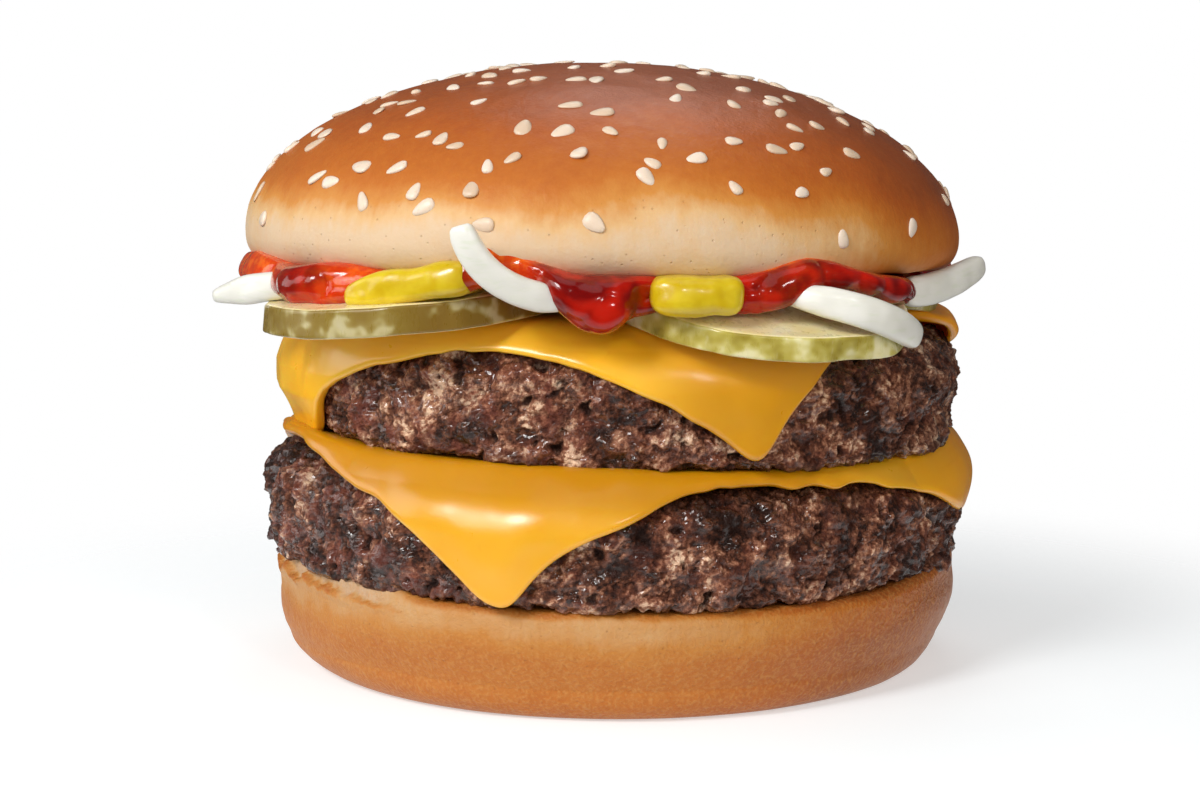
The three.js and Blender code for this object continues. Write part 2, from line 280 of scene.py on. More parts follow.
# ------------------------------------------------------------------ shader maths


class Value:
    """A shader socket used as a number: + - and * add Math nodes."""

    def __init__(self, finish, socket):
        self.finish = finish
        self.socket = socket

    def maths(self, operation, *values):
        """The result of a Math node's operation on values."""
        settings = {"operation": operation}
        return self.finish.node("ShaderNodeMath", settings, dict(enumerate(values)))

    def __add__(self, other):
        return self.maths("ADD", self, other)

    def __sub__(self, other):
        return self.maths("SUBTRACT", self, other)

    def __rsub__(self, other):
        return self.maths("SUBTRACT", other, self)

    def __mul__(self, other):
        return self.maths("MULTIPLY", self, other)

    __radd__ = __add__
    __rmul__ = __mul__

    def clamped(self):
        """The value held between 0 and 1."""
        return self.finish.node("ShaderNodeClamp", {}, {"Value": self})

    def step(self, low, high):
        """0 to 1 as the value goes from low to high, smoothly."""
        settings = {"interpolation_type": "SMOOTHSTEP"}
        inputs = {"Value": self, "From Min": low, "From Max": high}
        return self.finish.node("ShaderNodeMapRange", settings, inputs)


class Finish:
    """A material: its Principled shader and the nodes that feed it."""

    def __init__(self, name, **constants):
        self.material = bpy.data.materials.new(name)
        self.material.use_nodes = True
        self.tree = self.material.node_tree
        self.tree.nodes.clear()
        self.shader = self.tree.nodes.new("ShaderNodeBsdfPrincipled")
        output = self.tree.nodes.new("ShaderNodeOutputMaterial")
        self.tree.links.new(self.shader.outputs[0], output.inputs["Surface"])
        for key, value in constants.items():
            self.shader.inputs[key.replace("_", " ")].default_value = value

    def feed(self, socket, value):
        """Links a Value to a socket, or sets a plain number, colour or vector on it."""
        if isinstance(value, Value):
            self.tree.links.new(value.socket, socket)
        elif isinstance(value, tuple) and len(value) == 3 and len(socket.default_value) == 4:
            socket.default_value = (*value, 1)
        else:
            socket.default_value = value

    def node(self, kind, settings=None, inputs=None, output=0):
        """Adds a node of a type with its settings, such as an operation or a ramp's stops, then
        the values or links of its sockets, and gives one of its outputs."""
        node = self.tree.nodes.new(kind)
        for key, value in (settings or {}).items():
            if key == "stops":
                self.set_stops(node.color_ramp, value)
            else:
                setattr(node, key, value)
        for key, value in (inputs or {}).items():
            self.feed(node.inputs[key], value)
        return Value(self, node.outputs[output])

    def set_stops(self, ramp, stops):
        """Puts stops of (place, colour) on a ramp, which starts with two."""
        while len(ramp.elements) < len(stops):
            ramp.elements.new(1.0)
        for element, (place, colour) in zip(ramp.elements, stops):
            element.position = place
            element.color = (*colour, 1)

    def set(self, **values):
        """Feeds the shader's own sockets."""
        for key, value in values.items():
            self.feed(self.shader.inputs[key.replace("_", " ")], value)

    def place(self, scale=(1, 1, 1)):
        """Object coordinates in mm, stretched by a scale along each axis."""
        where = self.node("ShaderNodeTexCoord", output="Object")
        scale_mm = tuple(s / MM for s in scale)
        return self.node("ShaderNodeMapping", {"vector_type": "POINT"},
                         {"Vector": where, "Scale": scale_mm})

    def attribute(self, name):
        """A mesh attribute, one number for each point."""
        return self.node("ShaderNodeAttribute", {"attribute_name": name}, output="Fac")

    def noise(self, size, detail=3.0, stretch=(1, 1, 1), roughness=0.55):
        """Noise from 0 to 1 with waves of a size in mm."""
        inputs = {"Vector": self.place(stretch), "Scale": 1 / size, "Detail": detail,
                  "Roughness": roughness}
        return self.node("ShaderNodeTexNoise", inputs=inputs)

    def voronoi(self, size):
        """Distance to the nearest of seeds scattered about a size in mm apart, over that size."""
        inputs = {"Vector": self.place(), "Scale": 1 / size}
        return self.node("ShaderNodeTexVoronoi", inputs=inputs)

    def ramp(self, value, stops):
        """A colour by a value, from stops of (value, colour)."""
        return self.node("ShaderNodeValToRGB", {"stops": stops}, {"Fac": value}, "Color")

    def blend(self, a, b, share, mode="MIX"):
        """Colour a towards colour b by a share."""
        settings = {"data_type": "RGBA", "blend_type": mode}
        return self.node("ShaderNodeMix", settings, {0: share, 6: a, 7: b}, 2)

    def bump(self, height, strength, distance_mm):
        """Tilts the surface by a height of 0 to 1 over a distance in mm."""
        inputs = {"Height": height, "Strength": strength, "Distance": distance_mm * MM}
        self.set(Normal=self.node("ShaderNodeBump", inputs=inputs))


# ------------------------------------------------------------------ finishes


# Linear colours. A list is a ramp's stops: how far along, and the colour there.
CRUST_BAKE = [
    (0.0, (0.71, 0.52, 0.335)),
    (0.15, (0.71, 0.44, 0.20)),
    (0.34, (0.61, 0.250, 0.048)),
    (0.55, (0.51, 0.150, 0.019)),
    (0.78, (0.40, 0.092, 0.013)),
    (1.0, (0.27, 0.058, 0.011)),
]
CRUST_PORE = (0.30, 0.12, 0.04)
CRUST_PEBBLE = (0.70, 0.37, 0.11)
CRUST_BROWN = (0.26, 0.085, 0.010)
BEEF_TONES = [
    (0.0, (0.022, 0.007, 0.004)),
    (0.30, (0.088, 0.028, 0.014)),
    (0.52, (0.19, 0.068, 0.036)),
    (0.74, (0.41, 0.19, 0.110)),
    (0.97, (0.86, 0.58, 0.39)),
]
BEEF_ROSY = (0.25, 0.062, 0.040)
BEEF_HOLLOW = (0.016, 0.006, 0.004)
BEEF_CHAR = (0.014, 0.007, 0.005)
CHEESE_PALE = (0.94, 0.52, 0.034)
CHEESE_YELLOW = (0.92, 0.46, 0.012)
CHEESE_FLECK = (0.80, 0.30, 0.003)
CHEESE_DEEP = (0.88, 0.31, 0.002)
CHEESE_SHADE = (0.54, 0.225, 0.0005)
RIND_FACETS = [
    (0.34, (0.33, 0.25, 0.030)),
    (0.46, (0.46, 0.38, 0.075)),
    (0.54, (0.58, 0.51, 0.170)),
    (0.62, (0.74, 0.68, 0.38)),
    (0.76, (0.80, 0.75, 0.50)),
]
RIND_VEIN = (0.66, 0.62, 0.40)
RIND_DULL = (0.21, 0.120, 0.014)
PICKLE_FLESH = [
    (0.3, (0.88, 0.74, 0.36)),
    (0.55, (0.93, 0.82, 0.47)),
    (0.75, (0.95, 0.88, 0.58)),
]
ONION_GREY = (0.76, 0.75, 0.68)
ONION_WHITE = (0.83, 0.82, 0.76)
ONION_LINE = (0.68, 0.72, 0.56)
KETCHUP_DARK = (0.17, 0.0015, 0.001)
KETCHUP_RED = (0.48, 0.010, 0.002)
KETCHUP_SMEAR = (0.66, 0.055, 0.004)
KETCHUP_ORANGE = (0.80, 0.13, 0.008)
MUSTARD_DEEP = (0.60, 0.41, 0.003)
MUSTARD_PALE = (0.70, 0.53, 0.016)
SEED_TINTS = [
    (0.0, (0.60, 0.43, 0.29)),
    (0.4, (0.74, 0.57, 0.42)),
    (1.0, (0.84, 0.70, 0.57)),
]
SEED_TOASTED = (0.60, 0.40, 0.22)
FLOOR_GREY = (0.62, 0.66, 0.68)
WHITE = (1, 1, 1)


def crust_finish(name, grain, shade):
    """Baked bun crust: the attribute "bake" goes from 0, pale, to 1, brown, and on the right of
    the crown and heel it also holds painted shade. grain is how strongly it is pebbled, and shade
    how much browner it is all over."""
    f = Finish(name, Subsurface_Weight=0.12, Subsurface_Scale=0.002,
               Subsurface_Radius=(1.0, 0.5, 0.25), Specular_IOR_Level=0.30)
    patch = f.noise(9, 3)
    mottle = f.noise(1.6, 4)
    streak = f.noise(1.2, 3, (1, 1, 0.18))
    bake = f.attribute("bake") + (patch - 0.5) * 0.18 + (mottle - 0.5) * 0.15
    bake = bake + (streak - 0.5) * 0.14
    colour = f.ramp(bake.clamped(), CRUST_BAKE)
    pore = f.voronoi(1.3)
    speck = 1 - pore.step(0.02, 0.16)
    colour = f.blend(colour, CRUST_PORE, speck * f.attribute("pits") * 0.28)
    pebble = f.noise(0.5, 3)
    colour = f.blend(colour, CRUST_PEBBLE, pebble.step(0.40, 0.75) * grain)
    colour = f.blend(colour, CRUST_BROWN, shade)
    f.set(Base_Color=colour)
    f.set(Roughness=0.62 - f.attribute("bake").clamped() * 0.24 + (mottle - 0.5) * 0.16)
    skin = f.noise(0.55, 4) * 0.5 + streak * 0.6 - speck * f.attribute("pits")
    f.bump(skin + pebble * (grain * 5), 0.6, 0.18)
    return f.material


def beef_finish():
    """Seared ground beef: "tone" is how pale a crumb is, "hollow" how deep a point lies between
    crumbs, where it is darkened as painted shade, "char" how burnt it is, and on the right side
    also painted shade, and "rosy" how red the brown is."""
    f = Finish("seared beef", IOR=1.5, Specular_IOR_Level=0.2, Coat_Roughness=0.1)
    fleck = f.noise(0.8, 3, roughness=0.65).step(0.36, 0.64)
    stain = f.noise(4.0, 3).step(0.3, 0.7)
    tone = f.attribute("tone") + (fleck - 0.5) * 0.44 + (stain - 0.5) * 0.38
    colour = f.ramp(tone.clamped(), BEEF_TONES)
    rosy = f.noise(3.6, 2).step(0.45, 0.62) * (0.15 + f.attribute("rosy") * 0.3)
    colour = f.blend(colour, BEEF_ROSY, rosy)
    hollow = f.attribute("hollow").clamped()
    # painted shade: near black where a point lies deep between crumbs
    colour = f.blend(colour, BEEF_HOLLOW, hollow * 0.92)
    # burnt char, and on the right side painted shade
    colour = f.blend(colour, BEEF_CHAR, f.attribute("char").clamped() * 0.7)
    f.set(Base_Color=colour)
    wet = f.noise(2.4, 3).step(0.38, 0.56)
    f.set(Roughness=0.52 - wet * 0.26)
    f.set(Coat_Weight=wet * (1 - hollow) * 0.85)
    grit = f.noise(0.45, 3, roughness=0.6) * 1.3 + f.voronoi(0.62) * 0.6
    f.bump(grit, 1.0, 0.42)
    return f.material


def cheese_finish():
    """Melted cheese: "deep" is how orange it is, painted shade on its shaded right side, and
    "shade" how dark, painted shade.
    """
    f = Finish("melted cheese", Subsurface_Weight=0.35, Subsurface_Scale=0.0022,
               Subsurface_Radius=(1.0, 0.42, 0.05), Specular_IOR_Level=0.75)
    cloud = f.noise(14, 2)
    fine = f.noise(2.2, 3)
    colour = f.blend(CHEESE_YELLOW, CHEESE_PALE, cloud.step(0.35, 0.7))
    colour = f.blend(colour, CHEESE_FLECK, fine.step(0.6, 0.8) * 0.25)
    # painted shade: more orange on the slice's shaded right side
    colour = f.blend(colour, CHEESE_DEEP, f.attribute("deep").clamped())
    colour = f.blend(colour, CHEESE_SHADE, f.attribute("shade").clamped())
    f.set(Base_Color=colour)
    f.set(Roughness=0.25 + fine * 0.08)
    f.bump(f.noise(3.4, 2) + f.noise(0.8, 2) * 0.12, 0.12, 0.2)
    return f.material


def pickle_finish():
    """Pickle slice: "skin" is 1 on the rind and 0 on the cut faces; "dull" darkens the rind, a
    duller olive and, towards each slice's right, painted shade.
    """
    f = Finish("dill pickle", Subsurface_Weight=0.3, Subsurface_Scale=0.002,
               Subsurface_Radius=(0.8, 1.0, 0.3), Coat_Weight=0.25, Coat_Roughness=0.1)
    facet = f.noise(4.2, 2.0, (1, 1, 1.2))
    vein = f.noise(1.1, 3, (1, 1, 0.4))
    rind = f.ramp(facet, RIND_FACETS)
    rind = f.blend(rind, RIND_VEIN, vein.step(0.60, 0.72) * 0.25)
    flesh = f.ramp(f.noise(3.6, 2), PICKLE_FLESH)
    # a duller olive rind, with painted shade towards the right
    worn = f.attribute("dull").clamped() * (1 - facet.step(0.50, 0.64) * 0.45)
    rind = f.blend(rind, RIND_DULL, worn)
    f.set(Base_Color=f.blend(flesh, rind, f.attribute("skin").clamped()))
    f.set(Roughness=0.18 + vein * 0.22)
    f.bump(facet * 0.8 + vein * 0.15, 0.35, 0.25)
    return f.material


def onion_finish():
    """Raw onion: faint greenish lines along its height over a cloudy white."""
    f = Finish("raw onion", Subsurface_Weight=0.3, Subsurface_Scale=0.0015,
               Subsurface_Radius=(1.0, 1.0, 0.85), Coat_Weight=0.25, Coat_Roughness=0.12)
    line = f.noise(0.7, 2, (0.25, 0.25, 1))
    cloud = f.noise(6, 2)
    colour = f.blend(ONION_GREY, ONION_WHITE, cloud.step(0.35, 0.65))
    colour = f.blend(colour, ONION_LINE, line.step(0.5, 0.75) * 0.45)
    f.set(Base_Color=colour)
    f.set(Roughness=0.24 + line * 0.16)
    f.bump(line, 0.2, 0.15)
    return f.material


def ketchup_finish():
    """Ketchup: "film" is 1 where it is a thin smear, which looks orange."""
    f = Finish("tomato ketchup", Subsurface_Weight=0.4, Subsurface_Scale=0.002,
               Subsurface_Radius=(1.0, 0.10, 0.04), Coat_Weight=0.45, Coat_Roughness=0.05,
               Specular_IOR_Level=0.22)
    pulp = f.noise(1.4, 3)
    thick = f.blend(KETCHUP_DARK, KETCHUP_RED, f.noise(5, 2).step(0.38, 0.62))
    thin = f.blend(KETCHUP_SMEAR, KETCHUP_ORANGE, pulp.step(0.4, 0.65))
    f.set(Base_Color=f.blend(thick, thin, f.attribute("film").clamped()))
    f.set(Roughness=0.12 + pulp * 0.10)
    f.bump(pulp, 0.08, 0.3)
    return f.material


def mustard_finish():
    """Mustard: two yellows clouded together."""
    f = Finish("yellow mustard", Subsurface_Weight=0.35, Subsurface_Scale=0.002,
               Subsurface_Radius=(1.0, 0.75, 0.1), Coat_Weight=0.35, Coat_Roughness=0.12)
    pulp = f.noise(2.6, 2)
    colour = f.blend(MUSTARD_DEEP, MUSTARD_PALE, pulp.step(0.3, 0.75))
    f.set(Base_Color=colour)
    f.set(Roughness=0.24 + pulp * 0.10)
    f.bump(pulp, 0.10, 0.25)
    return f.material


def seed_finish():
    """Sesame: "tint" goes from 0, toasted, to 1, pale."""
    f = Finish("sesame", Subsurface_Weight=0.2, Subsurface_Scale=0.001,
               Subsurface_Radius=(1.0, 0.8, 0.5))
    tint = f.attribute("tint")
    colour = f.ramp(tint, SEED_TINTS)
    colour = f.blend(colour, SEED_TOASTED, f.noise(0.5, 3).step(0.55, 0.8) * 0.4)
    f.set(Base_Color=colour)
    f.set(Roughness=0.38)
    f.bump(f.noise(0.35, 3), 0.3, 0.06)
    return f.material


# ------------------------------------------------------------------ the stack's levels


EDGE_SLOPE = 0.0154  # how fast a patty's top falls towards its rim
PATTY_RIM = 5  # radius of its rounded top edge
PATTY_GROWTH = 0.3  # how far it stands out of its plain disc
PATTY_WAVES = ((3, 0.5), (5, 0.35))  # waves round it and their heights


class Patty:
    """A patty's place and shape. Its sizes are the heights of its bottom and top at the middle,
    how far each falls for each mm to the right, the distance from which its top falls to the
    rim, the angle of its waves, the radius of its rounded bottom edge, how far the top of its
    right side leans out (flare), how far the foot of its left side draws in (tuck), how much
    paler its crumbs are and its salt."""

    def __init__(self, node, **sizes):
        low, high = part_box(node)
        self.node = node
        self.x = (low.x + high.x) / 2 / MM
        self.radius = (high.x - low.x) / 2 / MM + PATTY_GROWTH
        vars(self).update(sizes)

    def radius_at(self, azimuth):
        """The radius with two sets of shallow waves round it."""
        return self.radius + sum(height * np.sin(count * (azimuth + self.wave))
                                 for count, height in PATTY_WAVES)

    def floor(self, x):
        """The height of its underside."""
        return self.bottom - self.bottom_fall * x

    def roof(self, x, distance):
        """The height of its top: a slope to the right, less EDGE_SLOPE times the square of the
        distance past where it starts to fall."""
        past = np.maximum(0, distance - self.slope_from)
        return self.top - self.top_fall * x - EDGE_SLOPE * past**2


LOWER = Patty("patty_lower", bottom=15.1, bottom_fall=0.015, top=30.6, top_fall=0.03,
              slope_from=40, wave=0.4, bottom_rim=2.2, flare=1.9, tuck=0.6, pale=-0.04, salt=3)
UPPER = Patty("patty_upper", bottom=32.6, bottom_fall=0.03, top=49.2, top_fall=0.025,
              slope_from=36, wave=2.1, bottom_rim=2.0, flare=3.5, tuck=1.5, pale=0.09, salt=8)

SLICE_GAP = 0.55  # between a patty and the slice on it
SLICE_THICKNESS = 2.0

CROWN_X = -1.8
CROWN_RADIUS = 50.7
CROWN_BOTTOM = 57.6
CROWN_EDGE = 47.6  # radius where the flat underside ends
CROWN_WIDEST = 61.4
CROWN_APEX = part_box("bun_crown")[1].z / MM
CROWN_DOME = CROWN_APEX - CROWN_WIDEST
CROWN_FALL = 0.012  # how far the underside falls for each mm to the right
CROWN_SAG = 1.1  # and how much more at both ends
CROWN_SHIFT = 0.9  # how far left the apex stands of the middle
CROWN_GOLDEN = (61.6, 71.2)  # heights between which it turns golden
CROWN_BROWN = (69, 84)  # and brown

HEEL_BASE = 41.5  # radius of the flat it stands on
HEEL_FOOT = 46.0  # radius above the rounded foot
HEEL_FOOT_HEIGHT = 4.5
HEEL_RIM = 48.3
HEEL_RIM_ROUND = 1.6
HEEL_TOP = 15.2
HEEL_SHOULDER = HEEL_TOP - HEEL_RIM_ROUND
HEEL_BELLY = 0.55  # how far the side swells out
HEEL_FALL = 0.015  # how far the top falls for each mm to the right
HEEL_CURL = 2.1  # how far the right edge curls up
HEEL_LEDGE = 1.8  # how far the torn edge stands up
HEEL_TEAR = 13.7  # height of the line under the torn crumb
HEEL_BAND = (8, 13)  # heights between which the baked side turns pale

# How many columns each piece's grid has round the stack.
CROWN_COLUMNS = 420
HEEL_COLUMNS = 620
PATTY_COLUMNS = 960
SLICE_COLUMNS = 800
PICKLE_COLUMNS = 300
KETCHUP_COLUMNS = 1150

# Azimuths between which something shows: from, full, fading and to.
CROWN_DARK = (15, 75, 110, 160)  # the crown is darker: a browner bake, and painted shade
HEEL_DARK = (5, 70, 110, 170)  # the heel's right side is darker: painted shade
HEEL_TORN = (-100, -78, -46, -30)  # its upper edge is torn
HEEL_RIGHT = (40, 72, 100, 140)  # its right side stands out and curls up
HEEL_LEFT = (-150, -105, -72, -35)  # its left side stands out
PATTY_RIGHT = (40, 75, 112, 150)  # a patty leans out
PATTY_LEFT = (-140, -110, -76, -52)  # and its foot draws in
SLICE_DEEP = (45, 85, 110, 140)  # painted shade: a slice is more orange on its shaded right side
SLICE_CORNER = (0, 14, 50, 80)  # painted shade on the upper slice's front corner


def topping_floor(x, y):
    """Height of the upper slice's top face, carried on past its edge."""
    distance = np.hypot(x - UPPER.x, y)
    return UPPER.roof(x, distance) + SLICE_GAP + SLICE_THICKNESS


def crown_floor(x):
    """Height of the crown's underside: it falls to the right and sags at both ends."""
    return CROWN_BOTTOM - CROWN_FALL * x - CROWN_SAG * ((x - CROWN_X) / CROWN_RADIUS) ** 2


# ------------------------------------------------------------------ bun


def crown_place(azimuth, distance, height):
    """A point of the crown from its plain turned profile: the upper part shifts to the left and
    the underside follows crown_floor, both fading with height."""
    share = np.clip((height - CROWN_BOTTOM) / (CROWN_APEX - CROWN_BOTTOM), 0, 1)
    points = polar(CROWN_X, azimuth, distance, height)
    points[..., 0] -= CROWN_SHIFT * share
    points[..., 2] += (crown_floor(points[..., 0]) - CROWN_BOTTOM) * (1 - share)
    return points


def crown_relief(points):
    """Broad swells and faint ripples of the crust, in mm."""
    return waves(points, (0.34, 24, 41), (0.15, 7, 42), (0.03, 2, 43))


def make_crown(finish):
    """A half ellipse over a quarter ellipse over a flat underside, turned and pushed outwards by
    crown_relief. It is baked from a ragged line upwards, and further down at the right, where it
    is also darker, partly a browner bake and partly painted shade."""
    under = np.array([0, 0.4, 0.75, 0.92, 1]) * CROWN_EDGE
    lower = np.linspace(-90, 0, 40)[1:] * DEGREE
    dome = np.linspace(0, 90, 190)[1:] * DEGREE
    edge_width = CROWN_RADIUS - CROWN_EDGE
    edge_height = CROWN_WIDEST - CROWN_BOTTOM
    distance = np.concatenate([under, CROWN_EDGE + edge_width * np.cos(lower),
                               CROWN_RADIUS * np.cos(dome)])
    height = np.concatenate([under * 0 + CROWN_BOTTOM, CROWN_WIDEST + edge_height * np.sin(lower),
                             CROWN_WIDEST + CROWN_DOME * np.sin(dome)])
    rise = np.concatenate([under * 0 - 1, np.sin(lower), np.sin(dome)])
    spread = np.sqrt(1 - rise**2)
    azimuth = around(CROWN_COLUMNS)[None, :]
    points = crown_place(azimuth, distance[:, None], height[:, None])
    relief = crown_relief(points) * smooth(0, 4, distance)[:, None]
    points += polar(0, azimuth, spread[:, None] * relief, rise[:, None] * relief)
    points[-1] = points[-1].mean(0)
    ragged = 1.5 * noise(points, 16, 44) + 0.5 * noise(points * (1, 1, 0.3), 3, 45)
    level = points[..., 2] + ragged
    # painted shade, partly a browner bake: the right side is darker and turns golden lower down
    right = between(azimuth / DEGREE, *CROWN_DARK)
    bake = 0.62 * smooth(*CROWN_GOLDEN, level + 2.2 * right) + 0.34 * smooth(*CROWN_BROWN, level)
    bake = bake + 0.62 * right * (1 - 0.55 * bake)
    pits = 1 - smooth(0.1, 0.5, bake)
    return ring_piece("crown_crust", points, finish, {"bake": bake, "pits": pits})


def make_heel(finish):
    """The heel: a flat base, a quarter ellipse for its foot, a side that leans out and swells by
    a sine, a quarter circle for its upper edge and a flat top, turned. Noise roughens it, the
    left side and foot stand out, the right edge curls up, and at the left the upper edge is a
    torn ledge of crumb over a scorched line."""
    under = np.array([0, 0.5, 0.85, 1]) * HEEL_BASE
    arc = np.linspace(-90, 0, 34)[1:] * DEGREE
    side = np.linspace(0, 1, 56)[1:]
    edge = np.linspace(0, 90, 18)[1:] * DEGREE
    flat = np.array([0.9, 0.6, 0.3, 0]) * (HEEL_RIM - HEEL_RIM_ROUND)
    foot = HEEL_BASE + (HEEL_FOOT - HEEL_BASE) * np.cos(arc)
    wall = HEEL_FOOT + (HEEL_RIM - HEEL_FOOT) * side + HEEL_BELLY * np.sin(side * math.pi)
    edge_distance = HEEL_RIM - HEEL_RIM_ROUND + HEEL_RIM_ROUND * np.cos(edge)
    distance = np.concatenate([under, foot, wall, edge_distance, flat])
    height = np.concatenate([under * 0, HEEL_FOOT_HEIGHT + HEEL_FOOT_HEIGHT * np.sin(arc),
                             HEEL_FOOT_HEIGHT + (HEEL_SHOULDER - HEEL_FOOT_HEIGHT) * side,
                             HEEL_SHOULDER + HEEL_RIM_ROUND * np.sin(edge), flat * 0 + HEEL_TOP])
    outward = np.concatenate([under * 0, np.cos(arc), side * 0 + 1, np.cos(edge), flat * 0])
    distance, height, outward = distance[:, None], height[:, None], outward[:, None]
    azimuth = around(HEEL_COLUMNS)[None, :]
    turn = azimuth / DEGREE
    plain = polar(0, azimuth, distance, height)
    torn = between(turn, *HEEL_TORN)
    line = HEEL_TEAR + waves(plain, (0.7, 7, 54), (0.35, 2.2, 55), (0.25, 1.1, 62))
    crumbs = torn * smooth(-0.12, 0.12, height - line)
    lip = torn * smooth(1.4, 0.1, line - height) * (1 - crumbs)
    relief = waves(plain, (0.3, 15, 51), (0.12, 4, 52), (0.05, 1.2, 53))
    relief = relief + 0.3 * lip - crumbs * (0.5 + 0.6 * cells(plain, 1.4, 56)[0])
    right = between(turn, *HEEL_RIGHT)
    left = between(turn, *HEEL_LEFT)
    wide = 0.35 * smooth(3, 12, height)
    wide = wide + right * 0.9 * between(height, 1, 6, 8, 13)
    wide = wide + left * 1.4 * between(height, 0.5, 4.5, 6, 12)
    wide = wide * (distance > 40)
    points = plain + polar(0, azimuth, outward * relief + wide, 0 * relief)
    points[..., 2] += (height / HEEL_TOP) * (HEEL_CURL * right - HEEL_FALL * points[..., 0])
    ledge = torn * smooth(HEEL_SHOULDER - 0.4, HEEL_TOP, height)
    ledge = ledge * smooth(0, 0.9, distance / HEEL_RIM)
    points[..., 2] += ledge * (HEEL_LEDGE + waves(plain, (0.5, 3, 57), (0.3, 1.2, 60)))
    wave = waves(plain, (1.3, 12, 58), (0.7, 3, 59))
    level = plain[..., 2] + wave
    golden_side = mix(0.52, 0.21, smooth(*HEEL_BAND, level))
    brown_foot = 0.10 * (1 - smooth(0, 5, level))
    brown_edge = 0.32 * smooth(14.0, 14.9, height + 0.3 * wave) * (1 - torn)
    # painted shade: the heel's right side is darker
    bake = golden_side + brown_foot + brown_edge + 0.74 * between(turn, *HEEL_DARK)
    scorch = torn * smooth(0.36, 0.08, np.abs(height - line + 0.1))
    uneven = 0.6 + 0.5 * noise(plain, 3.4, 61) - 0.01 * (turn + 70)
    bake = mix(bake * (1 - crumbs), 0.7, np.clip(scorch * uneven, 0, 1))
    pits = (1 - crumbs) * mix(0.7, 1.0, smooth(2, 8, plain[..., 2]))
    return ring_piece("heel_crust", points, finish, {"bake": bake, "pits": pits})


SEED_COUNT = 210
SEED_TRIES = 4000
SCATTER = 20  # the random numbers' own seed
SEED_LENGTHS = (1.1, 1.68)  # half its length
SEED_WIDTHS = (0.56, 0.72)  # its width over its length
SEED_THICKNESSES = (0.28, 0.40)  # half its thickness
SEED_SINK = 0.02  # its middle's height above the crust
SEED_TILT = 0.10  # how unevenly it leans
SEED_ROOM = [2.3, 4.4, 6.2]  # the space a seed keeps from the others
SEED_ROOM_SHARES = [0.24, 0.38, 0.38]


def make_seeds(finish):
    """Sesame seeds: teardrops, round at one end and pointed at the other, scattered evenly by
    area but thinning out down the side, some with a neighbour that touches. A seed's section is
    an ellipse that shrinks along it as sin(v)^0.8 * (1 - 0.34 cos(v))."""
    rng = np.random.default_rng(SCATTER)
    azimuth = rng.uniform(-math.pi, math.pi, SEED_TRIES)
    rise = rng.uniform(0, 1, SEED_TRIES) ** 0.9
    keep = rng.uniform(0, 1, SEED_TRIES) < mix(0.16, 1.0, smooth(0.12, 0.75, rise))
    azimuth, rise = azimuth[keep], rise[keep]
    chosen = []
    for a, s in zip(azimuth, rise):
        c = math.sqrt(1 - s * s)
        spot = np.array([c * math.sin(a) * CROWN_RADIUS, -c * math.cos(a) * CROWN_RADIUS,
                         s * CROWN_DOME])
        room = rng.choice(SEED_ROOM, p=SEED_ROOM_SHARES)
        if all(np.linalg.norm(spot - other) > room for other in chosen):
            chosen.append(spot)
        if len(chosen) == SEED_COUNT:
            break
    spots = np.array(chosen)
    rise = np.clip(spots[:, 2] / CROWN_DOME, 0, 0.9999)
    azimuth = np.arctan2(spots[:, 0], -spots[:, 1])
    spread = np.sqrt(1 - rise**2)
    place = crown_place(azimuth, CROWN_RADIUS * spread, CROWN_WIDEST + CROWN_DOME * rise)
    up = np.stack([spread * np.sin(azimuth) / CROWN_RADIUS,
                   -spread * np.cos(azimuth) / CROWN_RADIUS, rise / CROWN_DOME], -1)
    up = unit(unit(up) + rng.normal(0, SEED_TILT, up.shape))
    place += up * crown_relief(place)[:, None]
    forward = unit(np.cross(up, rng.normal(0, 1, up.shape)))
    across = np.cross(up, forward)
    v = np.linspace(0, math.pi, 8)[:, None]
    u = full_turn(10)
    taper = np.sin(v) ** 0.8 * (1 - 0.34 * np.cos(v))
    local = np.stack([taper * np.cos(u), -np.cos(v) + 0 * u, taper * np.sin(u)], -1)
    length = rng.uniform(*SEED_LENGTHS, SEED_COUNT)
    width = length * rng.uniform(*SEED_WIDTHS, SEED_COUNT)
    thick = rng.uniform(*SEED_THICKNESSES, SEED_COUNT)
    axes = np.stack([across * width[:, None], forward * length[:, None], up * thick[:, None]], 1)
    shaped = (place + up * SEED_SINK)[:, None, None, :] + local @ axes[:, None]
    tint = rng.uniform(0.15, 1, SEED_COUNT)
    return ring_piece("sesame_seeds", list(shaped), finish, [{"tint": np.array(t)} for t in tint])


# ------------------------------------------------------------------ beef


